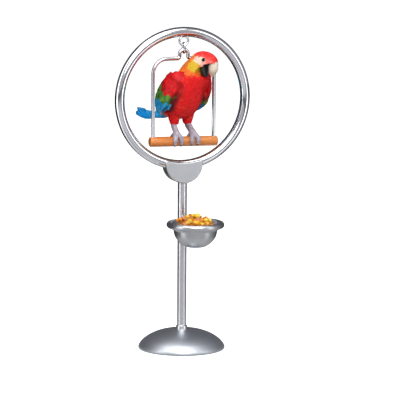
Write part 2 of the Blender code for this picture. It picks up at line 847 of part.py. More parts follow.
def bowl_profile(wall):
    """Outer side down from the rolled rim, then the inside up from the bottom."""
    rim = BOWL_RIM_Z
    outer = []
    for step in range(6):
        angle = math.radians(118 - 48 * step)
        outer.append((BOWL_RIM_RADIUS + 1.9 * MM * math.cos(angle), rim + 2.1 * MM * math.sin(angle)))
    outer.append((BOWL_BODY_RADIUS + 1.1 * MM, rim - 3.0 * MM))
    outer.append((BOWL_BODY_RADIUS + 0.1 * MM, rim - 3.5 * MM))
    outer.append((14.9 * MM, rim - 6.2 * MM))
    outer.append((13.3 * MM, rim - 9.6 * MM))
    outer.append((10.8 * MM, rim - 12.6 * MM))
    outer.append((8.0 * MM, rim - 14.7 * MM))
    outer.append((5.2 * MM, BOWL_BOTTOM_Z))
    outer.append((0.0, BOWL_BOTTOM_Z))
    inner = [
        (0.0, BOWL_BOTTOM_Z + wall),
        (5.0 * MM, BOWL_BOTTOM_Z + wall),
        (9.9 * MM, rim - 12.2 * MM),
        (12.9 * MM, rim - 8.4 * MM),
        (14.3 * MM, rim - 3.4 * MM),
        (15.6 * MM, rim - 0.6 * MM),
    ]
    return outer + inner + outer[:1]


def bowl():
    obj = turned("bowl", bowl_profile(BOWL_WALL), 22, PARTS)
    obj.data.transform(Matrix.Translation((0.0, -BOWL_FORWARD, 0.0)))
    return finish(obj, satin_steel("bowl_steel"))


def bracket():
    """A short flat arm between the pole and the bowl's back, under the rim."""
    arm = box(
        "bowl_bracket",
        (-2.6 * MM, -BOWL_FORWARD + 8.0 * MM, BRACKET_Z - 1.7 * MM),
        (2.6 * MM, 1.0 * MM, BRACKET_Z + 1.7 * MM),
        PARTS,
    )
    bevel = arm.modifiers.new("edges", "BEVEL")
    bevel.width = 0.5 * MM
    bevel.segments = 2
    apply_modifiers(arm)
    sleeve = cylinder(
        "bracket_pole",
        POLE_RADIUS + GAP,
        Vector((0.0, 0.0, BRACKET_Z - 8 * MM)),
        Vector((0.0, 0.0, BRACKET_Z + 8 * MM)),
        24,
        CUTTERS,
    )
    bowl_space = turned("bowl_space", bowl_space_profile(), 36, CUTTERS)
    bowl_space.data.transform(Matrix.Translation((0.0, -BOWL_FORWARD, 0.0)))
    cut(arm, sleeve, bowl_space)
    return finish(arm, satin_steel("bracket_steel"))


def bowl_space_profile():
    rim = BOWL_RIM_Z
    return [
        (0.0, rim + 4.0 * MM),
        (BOWL_RIM_RADIUS + 2.3 * MM, rim + 4.0 * MM),
        (BOWL_RIM_RADIUS + 2.3 * MM, rim - 2.6 * MM),
        (BOWL_BODY_RADIUS + 1.4 * MM, rim - 3.3 * MM),
        (BOWL_BODY_RADIUS + 0.4 * MM, rim - 3.9 * MM),
        (15.2 * MM, rim - 6.3 * MM),
        (13.6 * MM, rim - 9.8 * MM),
        (11.0 * MM, rim - 13.0 * MM),
        (0.0, rim - 13.0 * MM),
    ]


def food():
    """A heap of rounded nuggets, one moulded piece that sits inside the bowl."""
    rim = BOWL_RIM_Z
    profile = [
        (0.0, rim + 4.4 * MM),
        (5.0 * MM, rim + 3.8 * MM),
        (9.5 * MM, rim + 1.8 * MM),
        (12.6 * MM, rim - 0.8 * MM),
        (13.4 * MM, rim - 3.0 * MM),
        (12.2 * MM, rim - 7.6 * MM),
        (9.2 * MM, rim - 11.6 * MM),
        (4.6 * MM, BOWL_BOTTOM_Z + BOWL_WALL + 0.5 * MM),
        (0.0, BOWL_BOTTOM_Z + BOWL_WALL + 0.5 * MM),
    ]
    heap = turned("food", profile, 14, PARTS)
    golden = math.pi * (3 - math.sqrt(5))
    for number in range(NUGGETS):
        share = (number + 0.5) / NUGGETS
        radius = 11.6 * MM * math.sqrt(share)
        angle = golden * number
        height = rim + (4.7 - 4.6 * share ** 1.2 + 0.7 * math.sin(number * 2.3)) * MM
        bpy.ops.mesh.primitive_ico_sphere_add(subdivisions=1, radius=1.0)
        lump = place(bpy.context.object, CUTTERS)
        lump.name = f"nugget_{number}"
        size = (2.8 + 0.35 * math.sin(number * 1.7)) * MM
        shape = Matrix.Diagonal((size * 1.12, size * 0.92, size * 0.95, 1.0))
        turn = Matrix.Rotation(number * 1.3, 4, "Z") @ Matrix.Rotation(number * 0.8, 4, "X")
        at = (radius * math.cos(angle), radius * math.sin(angle), height)
        lump.data.transform(Matrix.Translation(at) @ turn @ shape)
        combine(heap, lump, "UNION")
    heap.data.transform(Matrix.Translation((0.0, -BOWL_FORWARD, 0.0)))
    return finish(heap, paint("food_plastic", (0.85, 0.42, 0.05)))


def build_stand():
    base()
    pole()
    ring()
    holder()
    eye_loop()
    link()
    swing_wire()
    perch()
    bowl()
    bracket()
    food()


build_stand()
build_bird()
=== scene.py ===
"""Toy macaw on a swing stand: polished ring and pole, satin base and bowl, wooden perch, painted macaw."""

import json
import random
from itertools import product
from math import asin, copysign, cos, dist, hypot, pi, radians, sin, sqrt

import bpy
import numpy as np
from mathutils import Euler, Matrix, Vector, noise
from mathutils.bvhtree import BVHTree

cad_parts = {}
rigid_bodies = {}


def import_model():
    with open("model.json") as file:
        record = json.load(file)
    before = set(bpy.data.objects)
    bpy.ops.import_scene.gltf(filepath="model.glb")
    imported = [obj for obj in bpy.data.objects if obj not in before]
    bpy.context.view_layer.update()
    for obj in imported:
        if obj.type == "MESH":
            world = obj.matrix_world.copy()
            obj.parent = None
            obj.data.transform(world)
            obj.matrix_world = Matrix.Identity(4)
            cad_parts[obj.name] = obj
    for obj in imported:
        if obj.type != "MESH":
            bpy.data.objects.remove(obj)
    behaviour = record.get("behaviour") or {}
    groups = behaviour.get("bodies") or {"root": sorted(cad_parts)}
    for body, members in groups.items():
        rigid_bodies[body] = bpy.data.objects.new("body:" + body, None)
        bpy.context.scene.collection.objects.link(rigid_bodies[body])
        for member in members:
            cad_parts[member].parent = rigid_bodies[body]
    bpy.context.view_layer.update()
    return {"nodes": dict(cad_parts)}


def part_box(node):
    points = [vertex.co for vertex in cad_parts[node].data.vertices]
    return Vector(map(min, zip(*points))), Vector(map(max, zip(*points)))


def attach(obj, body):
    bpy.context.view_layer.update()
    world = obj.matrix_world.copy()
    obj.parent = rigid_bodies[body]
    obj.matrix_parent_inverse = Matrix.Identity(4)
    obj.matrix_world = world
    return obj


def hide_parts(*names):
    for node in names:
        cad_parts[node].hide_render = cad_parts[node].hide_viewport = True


MM = 0.001
MERGE = 0.01 * MM
UP = Vector((0.0, 0.0, 1.0))

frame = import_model()
NODES = frame["nodes"]


# ---- edit helpers

def nothing_selected():
    if bpy.context.object and bpy.context.object.mode != "OBJECT":
        bpy.ops.object.mode_set(mode="OBJECT")
    for obj in bpy.context.view_layer.objects:
        obj.select_set(False)
    bpy.context.view_layer.objects.active = None


def only(obj):
    nothing_selected()
    obj.select_set(True)
    bpy.context.view_layer.objects.active = obj


def added(add, **values):
    """Adds a primitive mesh with nothing else selected."""
    nothing_selected()
    add(**values)
    return bpy.context.object


def linked(name, data):
    """Puts a mesh, a lamp or a camera into the scene."""
    obj = bpy.data.objects.new(name, data)
    bpy.context.scene.collection.objects.link(obj)
    return obj


def editing(obj, mode="VERT", action="DESELECT"):
    only(obj)
    bpy.ops.object.mode_set(mode="EDIT")
    bpy.ops.mesh.select_mode(type=mode)
    bpy.ops.mesh.select_all(action=action)


def done_editing():
    bpy.ops.object.mode_set(mode="OBJECT")


def choose(items, test):
    """Selects the vertices or faces that pass a test, of a piece in edit mode with nothing selected."""
    bpy.ops.object.mode_set(mode="OBJECT")
    for item in items:
        item.select = test(item)
    bpy.ops.object.mode_set(mode="EDIT")


def run(vector):
    """Draws the selected section out along a vector."""
    bpy.ops.mesh.extrude_region_move(TRANSFORM_OT_translate={"value": vector})


def bend(centre, degrees, steps, axis=(0, 1, 0)):
    """Draws the selected section round a centre."""
    bpy.ops.mesh.spin(steps=steps, angle=-radians(degrees), center=centre, axis=axis)


def modify(obj, kind, **values):
    """Adds a modifier with these values and applies it."""
    modifier = obj.modifiers.new(kind.lower(), kind)
    for key, value in values.items():
        setattr(modifier, key, value)
    only(obj)
    bpy.ops.object.modifier_apply(modifier=modifier.name)


def tidy(obj, sharp=40.0):
    """Merges doubles, turns the faces outwards and shades the piece smooth up to an angle."""
    editing(obj, action="SELECT")
    bpy.ops.mesh.remove_doubles(threshold=MERGE)
    bpy.ops.mesh.normals_make_consistent(inside=False)
    done_editing()
    bpy.ops.object.transform_apply(location=True, rotation=True, scale=True)
    bpy.ops.object.shade_smooth_by_angle(angle=radians(sharp))
    return obj


def joined(objs):
    nothing_selected()
    for obj in objs:
        obj.select_set(True)
    bpy.context.view_layer.objects.active = objs[0]
    bpy.ops.object.join()
    return objs[0]


def turned_to(direction):
    """The turn that takes the upright axis to a direction."""
    return UP.rotation_difference(Vector(direction)).to_matrix().to_4x4()


def store_paint(mesh, colours):
    """Keeps a colour for each vertex, or one for all, on a piece."""
    layer = mesh.attributes.new("paint", "FLOAT_COLOR", "POINT")
    rows = np.ones((len(mesh.vertices), 4), np.float32)
    rows[:, :3] = colours
    layer.data.foreach_set("color", rows.ravel())


def tree_of(obj):
    mesh = obj.data
    mesh.calc_loop_triangles()
    corners = [v.co for v in mesh.vertices]
    return BVHTree.FromPolygons(corners, [tuple(t.vertices) for t in mesh.loop_triangles])


def settle(obj, name, body, surface, slot, *replaced):
    """Names a finished piece and gives it its finish, its body and the solids it stands for."""
    obj.name = obj.data.name = name
    obj.data.materials.clear()
    obj.data.materials.append(surface)
    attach(obj, body)
    if replaced:
        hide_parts(*replaced)


# ---- finishes

def srgb(red, green, blue):
    """A linear colour from the usual 0 to 255 values."""
    return tuple(((v / 255 + 0.055) / 1.055) ** 2.4 if v > 10 else v / 3294.6 for v in (red, green, blue))


class Nodes:
    """A node tree, with short ways to add and join nodes."""

    def __init__(self, tree):
        self.tree = tree

    def feed(self, value, socket):
        if isinstance(value, bpy.types.NodeSocket):
            self.tree.links.new(value, socket)
        elif isinstance(value, tuple) and len(value) == 3 and socket.type == "RGBA":
            socket.default_value = (*value, 1.0)
        else:
            socket.default_value = value

    def node(self, kind, inputs=(), **values):
        made = self.tree.nodes.new("ShaderNode" + kind)
        for key, value in values.items():
            setattr(made, key, value)
        for key, value in dict(inputs).items():
            self.feed(value, made.inputs[key])
        return made

    def place(self):
        return self.node("TexCoord").outputs["Object"]

    def camera_ray(self):
        return self.node("LightPath").outputs["Is Camera Ray"]

    def mix(self, factor, low, high, blend="MIX"):
        inputs = {0: factor, 6: low, 7: high}
        return self.node("Mix", inputs, data_type="RGBA", blend_type=blend).outputs[2]

    def spread(self, value, low, high, new_low=0.0, new_high=1.0):
        return self.node("MapRange", enumerate((value, low, high, new_low, new_high))).outputs[0]

    def sum(self, first, second, how="ADD"):
        return self.node("Math", {0: first, 1: second}, operation=how).outputs[0]

    def speckle(self, place, scale, detail=2.0):
        """The value of a noise pattern."""
        return self.node("TexNoise", {"Vector": place, "Scale": scale, "Detail": detail}).outputs["Fac"]


class Finish(Nodes):
    """A material: its node tree and its shader."""

    def __init__(self, name):
        self.material = bpy.data.materials.new(name)
        self.material.use_nodes = True
        super().__init__(self.material.node_tree)
        self.shader = self.tree.nodes["Principled BSDF"]

    def set(self, **values):
        for key, value in values.items():
            self.feed(value, self.shader.inputs[key.replace("_", " ")])

    def bump(self, height, strength, distance):
        inputs = {"Strength": strength, "Distance": distance, "Height": height}
        self.set(Normal=self.node("Bump", inputs).outputs["Normal"])

    def paint(self):
        """The colour stored on the piece."""
        return self.node("Attribute", attribute_name="paint").outputs["Color"]

    def group(self, tree, **numbers):
        return self.node("Group", {"Place": self.place(), **numbers}, node_tree=tree).outputs


def effect(name, numbers, outputs):
    """An empty shader group with named number inputs and outputs: its nodes and both sets of sockets."""
    tree = bpy.data.node_groups.new(name, "ShaderNodeTree")
    tree.interface.new_socket("Place", in_out="INPUT", socket_type="NodeSocketVector")
    for key, value in numbers.items():
        socket = tree.interface.new_socket(key, in_out="INPUT", socket_type="NodeSocketFloat")
        socket.default_value = value
    for key in outputs:
        tree.interface.new_socket(key, in_out="OUTPUT", socket_type="NodeSocketFloat")
    return Nodes(tree), tree.nodes.new("NodeGroupInput").outputs, tree.nodes.new("NodeGroupOutput").inputs


def handling_effect():
    """Fine smudges and dull patches that a handled surface gathers: a mask and a height."""
    nodes, given, result = effect("handling", {"Scale": 60.0}, ("Mask", "Height"))
    broad = nodes.speckle(given["Place"], given["Scale"], 4.0)
    fine_scale = nodes.sum(given["Scale"], 9.0, "MULTIPLY")
    nodes.feed(nodes.spread(broad, 0.35, 0.68), result["Mask"])
    nodes.feed(nodes.speckle(given["Place"], fine_scale, 3.0), result["Height"])
    return nodes.tree


def grain_effect():
    """Long wood fibres along X: a slow streak mask, fine dark pores and a height."""
    nodes, given, result = effect("grain", {"Fibres": 900.0}, ("Streak", "Pores", "Height"))
    drawn_out = nodes.node("Mapping", {"Vector": given["Place"], "Scale": (0.045, 1.0, 1.0)}).outputs[0]
    quick = nodes.speckle(drawn_out, given["Fibres"], 4.0)
    nodes.feed(nodes.speckle(drawn_out, 320.0, 3.0), result["Streak"])
    nodes.feed(nodes.spread(quick, 0.56, 0.70), result["Pores"])
    nodes.feed(quick, result["Height"])
    return nodes.tree


HANDLING = handling_effect()
GRAIN = grain_effect()


def metal(name, bright, dull, smooth, rough, relief):
    """Bare or plated steel: two greys and two roughnesses, parted by a handling mask."""
    finish = Finish(name)
    worn = finish.group(HANDLING, Scale=70.0)
    finish.set(Base_Color=finish.mix(worn["Mask"], bright, dull), Metallic=1.0)
    finish.set(Roughness=finish.spread(worn["Mask"], 0.0, 1.0, smooth, rough))
    finish.bump(worn["Height"], relief, 0.00003)
    return finish.material


def painted(name, roughness, relief, scale):
    """Paint over moulded vinyl. Its colour is stored on the piece, and it is duller where it is handled."""
    finish = Finish(name)
    worn = finish.group(HANDLING, Scale=scale)
    dulled = finish.spread(worn["Mask"], 0.0, 1.0, 0.0, 0.14)
    shade = finish.mix(dulled, finish.paint(), (0.4, 0.3, 0.3), "MULTIPLY")
    finish.set(Base_Color=shade, Specular_IOR_Level=0.22)
    finish.set(Roughness=finish.spread(worn["Mask"], 0.0, 1.0, roughness, roughness + 0.14))
    finish.bump(worn["Height"], relief, 0.00006)
    return finish.material


def plain_paint(name, main, second, roughness, coat, shine=0.5):
    """One paint with soft unevenness, for bill, eyes and feet."""
    finish = Finish(name)
    worn = finish.group(HANDLING, Scale=260.0)
    finish.set(Base_Color=finish.mix(worn["Mask"], main, second), Roughness=roughness)
    finish.set(Coat_Weight=coat, Coat_Roughness=0.1, Specular_IOR_Level=shine)
    finish.bump(worn["Height"], 0.12, 0.00004)
    return finish.material


def wood():
    """Stained and lacquered dowel."""
    finish = Finish("stained_dowel")
    grain = finish.group(GRAIN, Fibres=1100.0)
    tone = finish.mix(finish.spread(grain["Streak"], 0.35, 0.65), srgb(182, 100, 36), srgb(212, 132, 60))
    tone = finish.mix(finish.spread(grain["Pores"], 0.0, 1.0, 0.0, 0.5), tone, srgb(120, 56, 18))
    finish.set(Base_Color=tone, Roughness=0.36, Coat_Weight=0.35, Coat_Roughness=0.2)
    finish.bump(grain["Height"], 0.25, 0.00006)
    return finish.material


def food_paint():
    """Paint on pressed nuggets, browner in scattered patches."""
    finish = Finish("painted_food")
    worn = finish.group(HANDLING, Scale=420.0)
    shade = finish.mix(finish.spread(worn["Mask"], 0.0, 1.0, 0.0, 0.35), finish.paint(), srgb(176, 96, 12))
    finish.set(Base_Color=shade, Roughness=0.38, Coat_Weight=0.2, Coat_Roughness=0.25)
    finish.bump(worn["Height"], 0.4, 0.00012)
    return finish.material


POLISHED = metal("polished_steel", (0.86, 0.87, 0.89), (0.78, 0.79, 0.82), 0.08, 0.13, 0.006)
SATIN = metal("satin_steel", (0.60, 0.61, 0.63), (0.50, 0.51, 0.53), 0.28, 0.36, 0.03)
POLE_STEEL = metal("pole_steel", (0.72, 0.73, 0.75), (0.63, 0.64, 0.67), 0.27, 0.33, 0.012)
HOLDER_STEEL = metal("holder_steel", (0.64, 0.65, 0.67), (0.56, 0.57, 0.59), 0.38, 0.44, 0.02)
BASE_STEEL = metal("base_steel", (0.56, 0.59, 0.63), (0.48, 0.51, 0.55), 0.42, 0.48, 0.02)
WOOD = wood()
FOOD = food_paint()
SKIN_PAINT = painted("skin_paint", 0.42, 0.25, 300.0)
COAT_PAINT = painted("feather_paint", 0.40, 0.30, 420.0)
BILL_PAINT = painted("bill_paint", 0.36, 0.12, 300.0)
BLACK = plain_paint("black_paint", (0.012, 0.011, 0.012), (0.022, 0.02, 0.02), 0.32, 0.2, 0.28)
EYE_BLACK = plain_paint("eye_paint", (0.004, 0.004, 0.004), (0.008, 0.007, 0.007), 0.22, 0.0, 0.1)
GREY = plain_paint("foot_paint", srgb(176, 167, 176), srgb(138, 128, 140), 0.5, 0.05)
CLAW = plain_paint("claw_paint", srgb(62, 56, 62), srgb(44, 40, 46), 0.34, 0.2)


# ---- turned pieces

# The perch: its radius and the height of its middle (mm).
PERCH_RADIUS = 3.45
PERCH_Z = 146.9


def between(a, b, c, d, u):
    """A value a share of the way from b to c, on a smooth curve through four values."""
    bow = (2 * a - 5 * b + 4 * c - d) * u * u
    return (2 * b + (c - a) * u + bow + (3 * b - a - 3 * c + d) * u ** 3) / 2


def smooth_line(points, fineness):
    """Points on a smooth curve through the given ones."""
    line = []
    last = len(points) - 1
    for i in range(last):
        four = [points[min(max(k, 0), last)] for k in (i - 1, i, i + 1, i + 2)]
        for step in range(fineness):
            line.append(tuple(between(*values, step / fineness) for values in zip(*four)))
    return line + [tuple(points[last])]


def lathe(rows, steps, centre_y=0.0, unit=MM):
    """Draws a profile of radii and heights point by point and spins it round an upright axis."""
    profile = [(r * unit, z * unit) for r, z in rows]
    obj = added(bpy.ops.mesh.primitive_plane_add, size=0.001, location=(0.0, 0.0, 0.0))
    editing(obj)
    choose(obj.data.vertices, lambda vertex: vertex.co.x < 0 or vertex.co.y < 0)
    bpy.ops.mesh.delete(type="VERT")
    bpy.ops.mesh.select_all(action="SELECT")
    start = Vector((profile[0][0], centre_y, profile[0][1]))
    bpy.ops.transform.translate(value=start - Vector((0.0005, 0.0005, 0.0)))
    for (r0, z0), (r1, z1) in zip(profile, profile[1:]):
        run((r1 - r0, 0.0, z1 - z0))
    bpy.ops.mesh.select_all(action="SELECT")
    bend((0.0, centre_y, 0.0), -360, steps, (0, 0, 1))
    return tidy(obj)


def build_base():
    """A pressed dome with a rolled lip and a flat, slightly hollow underside."""
    dome = [(0.0, 14.0), (4.2, 13.9), (9.0, 13.5), (14.0, 12.6), (18.5, 11.2), (23.0, 9.1)]
    dome += [(26.8, 6.5), (29.2, 4.0)]
    lip = [(29.2, 4.0), (30.1, 2.6), (30.45, 1.5), (30.4, 0.8), (30.0, 0.25), (29.4, 0.0)]
    foot = [(28.0, 0.0), (27.4, 0.7), (20.0, 1.0), (8.0, 1.1), (0.0, 1.1)]
    obj = lathe(smooth_line(dome, 5)[:-1] + smooth_line(lip, 4) + foot, 96)
    settle(obj, "dish_base", "stand", BASE_STEEL, "satin_metal", "stand_base")


def build_pole():
    """A straight tube with a stepped collar that sits on the dome."""
    low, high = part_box("stand_pole")
    foot = low.z / MM - 0.8
    top = high.z / MM + 2.0
    rows = [(0.0, top), (3.25, top), (3.25, 60.0), (3.25, 17.0), (3.3, 16.6), (3.45, 16.45), (3.7, 16.4)]
    rows += [(3.86, 16.3), (3.93, 16.05), (3.93, 14.9), (4.05, 14.5), (4.15, foot), (0.0, foot)]
    settle(lathe(rows, 48), "pole", "stand", POLE_STEEL, "polished_metal", "stand_pole")


def build_bowl():
    """A spun dish with a rolled rim, a bead under it and a flat bottom."""
    rim = 92.0
    roll = [(18.2 + 1.9 * cos(t), rim + 2.1 * sin(t)) for t in np.radians(np.linspace(150, -95, 15))]
    outside = [(17.2, 89.6), (16.6, 89.35), (16.35, 88.9), (15.7, 88.7), (15.35, 88.2), (15.0, 86.4)]
    outside += [(14.3, 84.0), (13.3, 82.2), (11.6, 80.1), (9.4, 78.2), (7.4, 77.0), (5.8, 76.5), (5.0, 76.4)]
    inside = [(0.0, 76.4), (0.0, 77.3), (5.0, 77.4), (9.8, 79.8), (12.9, 83.6), (14.3, 88.4), (15.6, 91.0)]
    low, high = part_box("bowl")
    obj = lathe(roll + smooth_line(outside, 3) + inside + roll[:1], 96, (low.y + high.y) / 2)
    settle(obj, "food_dish", "stand", SATIN, "satin_metal", "bowl")


def build_perch():
    """A sawn dowel, a little uneven along its length, with eased ends."""
    low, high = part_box("perch")
    middle = (low + high) / 2
    half = (high.x - low.x) / 2
    rounding = 0.9 * MM
    radius = PERCH_RADIUS * MM
    rows = [(0.0, half), (radius - 1.6 * rounding, half)]
    for t in np.radians(np.linspace(90, 0, 7)):
        rows.append((radius - rounding + rounding * cos(t), half - rounding + rounding * sin(t)))
    rows += [(radius + 0.00003 * sin(k * 2.4), half * (0.9 - 0.1 * k)) for k in range(1, 17)]
    for t in np.radians(np.linspace(0, -90, 7)):
        rows.append((radius - rounding + rounding * cos(t), -half + rounding + rounding * sin(t)))
    rows += [(radius - 1.6 * rounding, -half), (0.0, -half)]
    obj = lathe(rows, 48, unit=1.0)
    turn = pi / 2 + radians(1.2)
    obj.data.transform(Matrix.Translation(middle) @ Matrix.Rotation(turn, 4, "Y"))
    settle(obj, "perch_rod", "swing", WOOD, "perch_wood", "perch")


# ---- bent wire and tube

def wire_start(radius, centre, heading, sides):
    """A round section, square to its heading, ready to be drawn out."""
    obj = added(bpy.ops.mesh.primitive_circle_add, vertices=sides, radius=radius, fill_type="NOTHING")
    obj.data.transform(Matrix.Translation(centre) @ turned_to(heading))
    editing(obj, "EDGE", "SELECT")
    return obj


def closed_hoop(centre, radius, tube, sides, steps):
    """A round wire bent once about a centre, from its lowest point."""
    obj = wire_start(tube, centre - UP * radius, (1, 0, 0), sides)
    bend(centre, 360, steps)
    return tidy(obj, 60)


def build_ring():
    """The big ring: a round tube bent once about, its seam hidden in the holder."""
    low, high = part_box("stand_ring")
    centre = (low + high) / 2
    tube = (high.y - low.y) / 2
    obj = closed_hoop(centre, (high.x - low.x) / 2 - tube, tube, 32, 160)
    settle(obj, "big_ring", "stand", POLISHED, "polished_metal", "stand_ring")


def build_swing_wire():
    """One wire: up a side, round a corner, over the middle loop and down to the perch again."""
    low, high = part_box("swing_wire")
    radius = 1.3 * MM
    middle = (low.x + high.x) / 2
    half = (high.x - low.x) / 2 - radius
    corner = 10.0 * MM
    shoulder = 205.0 * MM
    fillet = 1.7 * MM
    loop = 3.1 * MM
    loop_z = 208.0 * MM
    side = shoulder - corner - low.z
    level = half - corner - loop - fillet
    rise = loop_z - shoulder - fillet
    obj = wire_start(radius, (middle - half, 0.0, low.z), (0, 0, 1), 18)
    for way, x, z, degrees, steps in (
        ((0.0, 0.0, side), middle - half + corner, shoulder - corner, 90, 12),
        ((level, 0.0, 0.0), middle - loop - fillet, shoulder + fillet, -90, 7),
        ((0.0, 0.0, rise), middle, loop_z, 180, 18),
        ((0.0, 0.0, -rise), middle + loop + fillet, shoulder + fillet, -90, 7),
        ((level, 0.0, 0.0), middle + half - corner, shoulder - corner, 90, 12),
    ):
        run(way)
        bend((x, 0.0, z), degrees, steps)
    run((0.0, 0.0, -side))
    bpy.ops.mesh.select_all(action="DESELECT")
    bpy.ops.mesh.select_mode(type="EDGE")
    bpy.ops.mesh.select_non_manifold()
    bpy.ops.mesh.edge_face_add()
    settle(tidy(obj, 60), "bent_wire", "swing", POLISHED, "polished_metal", "swing_wire")


def build_link():
    """A long chain link, closed where its ends meet."""
    low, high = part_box("hook_link")
    middle = (low + high) / 2
    radius = 0.7 * MM
    half = (high.y - low.y) / 2 - radius
    tall = (high.z - low.z) / 2 - radius - half
    obj = wire_start(radius, middle + Vector((0.0, -half, -tall)), (0, 0, 1), 16)
    for way in (1, -1):
        run((0.0, 0.0, way * 2 * tall))
        bend(middle + way * UP * tall, -180, 16, (1, 0, 0))
    settle(tidy(obj, 60), "chain_link", "link", POLISHED, "polished_metal", "hook_link")


def build_eye_loop():
    """The eye that hangs from the ring, a small closed wire loop."""
    low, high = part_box("stand_eye")
    radius = 0.8 * MM
    loop = 3.2 * MM
    obj = closed_hoop(Vector(((low.x + high.x) / 2, 0.0, low.z + radius + loop)), loop, radius, 16, 40)
    settle(obj, "hanging_eye", "stand", POLISHED, "polished_metal", "stand_eye")


# ---- holder and bracket

def build_holder():
    """A half-moon block that clasps the ring and takes the pole, with bevelled edges."""
    low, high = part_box("stand_holder")
    half = (high.x - low.x) / 2
    centre_z = 177.0 * MM
    top = 44.6 * MM
    corner_z = centre_z - sqrt(top ** 2 - half ** 2)
    sagitta = corner_z - low.z
    radius = (half ** 2 + sagitta ** 2) / (2 * sagitta)
    reach = asin(min(half / radius, 1.0))
    if sagitta > radius:
        reach = pi - reach
    outline = []
    for radius, arc_z, reach, way, count in (
        (top, centre_z, asin(half / top), 1, 25),
        (radius, low.z + radius, reach, -1, 49),
    ):
        for t in np.linspace(way, -way, count)[:-1]:
            angle = reach * t
            outline.append(Vector((radius * sin(angle), low.y, arc_z - radius * cos(angle))))
    obj = added(bpy.ops.mesh.primitive_circle_add, vertices=len(outline), radius=0.01, fill_type="NGON")
    for vertex, spot in zip(obj.data.vertices, outline):
        vertex.co = spot
    editing(obj, "FACE", "SELECT")
    run((0.0, high.y - low.y, 0.0))
    tidy(obj)
    modify(obj, "BEVEL", width=1.6 * MM, segments=7, limit_method="ANGLE", angle_limit=radians(50))
    settle(tidy(obj, 30), "ring_holder", "stand", HOLDER_STEEL, "satin_metal", "stand_holder")


def build_bracket():
    """A flat arm with stepped ends between the pole and the dish."""
    low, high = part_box("bowl_bracket")
    middle = (low + high) / 2
    obj = added(bpy.ops.mesh.primitive_cube_add, size=1.0, location=middle, scale=high - low)
    bpy.ops.object.transform_apply(location=True, rotation=True, scale=True)
    editing(obj, "FACE")
    choose(obj.data.polygons, lambda face: min(abs(face.center.y - end) for end in (low.y, high.y)) < 1e-5)
    bpy.ops.mesh.inset(thickness=0.6 * MM, depth=0.0)
    bpy.ops.transform.resize(value=(0.9, 1.0, 0.8))
    done_editing()
    modify(obj, "BEVEL", width=0.5 * MM, segments=3, limit_method="ANGLE", angle_limit=radians(40))
    settle(tidy(obj, 35), "dish_arm", "stand", SATIN, "satin_metal", "bowl_bracket")


build_base()
build_pole()
build_bowl()
build_perch()
build_ring()
build_swing_wire()
build_link()
build_eye_loop()
build_holder()
build_bracket()


# ---- the macaw's directions and regions

FLESH = ("trunk", "neck", "head", "wing_right", "wing_left", "tail", "thigh_right", "thigh_left")
# The skin (mm): how far it lies inside the solids, its voxels, and how far its copies are grown to meet.
COAT_DEPTH = 0.30
VOXEL = 0.42
SWELL = 0.22
BLADE_SHARE = 0.26  # the most of a thin blade that the skin gives up to the coat


BIRD_YAW = radians(8)
HEAD_YAW = radians(38)
FORWARD = Vector((sin(BIRD_YAW), -cos(BIRD_YAW), 0.0))
LEFT = Vector((cos(BIRD_YAW), sin(BIRD_YAW), 0.0))
MIDLINE = 1.5
HEAD_PLACE = FORWARD * 18.0 + LEFT * 7.2 + UP * 203.2
HEAD_FORWARD = (sin(HEAD_YAW), -cos(HEAD_YAW), 0.0)
HEAD_LEFT = (cos(HEAD_YAW), sin(HEAD_YAW), 0.0)
HEAD_TURN = Matrix((HEAD_FORWARD, HEAD_LEFT, UP)).transposed()
GAPE = ((4.9, -2.2), (2.4, 2.5))  # the notch of the bill: the middle and half sizes of its oval
SPINE = ((-71.0, 160.9), (-35.0, 162.4), (-25.0, 164.8), (-14.5, 168.2), (-5.8, 171.6), (0.2, 177.0))
SPINE += ((5.0, 183.6), (9.0, 190.5), (12.4, 196.6), (14.8, 201.6), (16.6, 205.6))
WING_ALONG = Vector((-0.796, -0.607))
WING_DOWN = Vector((-WING_ALONG.y, WING_ALONG.x))
SHOULDER = Vector((8.0, 191.0))
LEFT_WING_LEAD = 2.0


def bird_place(point):
    """Forward, left and up in millimetres, left measured from the bird's midline."""
    spot = Vector(point) / MM
    return spot.dot(FORWARD), spot.dot(LEFT) - MIDLINE, spot.z


def head_place(point):
    """Forward, left and up from the middle of the head, in millimetres, in the head's own directions."""
    return HEAD_TURN.transposed() @ (Vector(point) / MM - HEAD_PLACE)


def head_point(forward, left, up):
    return (HEAD_TURN @ Vector((forward, left, up)) + HEAD_PLACE) * MM


def wing_place(forward, up):
    """How far a point lies along the folded wing from the shoulder, and how far towards its lower edge."""
    from_shoulder = Vector((forward, up)) - SHOULDER
    return from_shoulder.dot(WING_ALONG), from_shoulder.dot(WING_DOWN)


def wing_lead(left):
    """How much further forward the wing on this side sits."""
    return LEFT_WING_LEAD if left > 0 else 0.0


def ease(value, low, high):
    t = min(max((value - low) / (high - low), 0.0), 1.0)
    return t * t * (3 - 2 * t)


def blend(low, high, share):
    return tuple(a + (b - a) * share for a, b in zip(low, high))


def toward_tail(forward, up):
    """Direction along the spine towards the tail at the nearest part of the spine."""
    spot = Vector((forward, up))
    best = None
    for tail_end, head_end in zip(SPINE, SPINE[1:]):
        start, end = Vector(tail_end), Vector(head_end)
        step = end - start
        t = min(max((spot - start).dot(step) / step.length_squared, 0.0), 1.0)
        far = (start + step * t - spot).length
        if best is None or far < best[0]:
            best = (far, -step.normalized())
    return FORWARD * best[1].x + UP * best[1].y


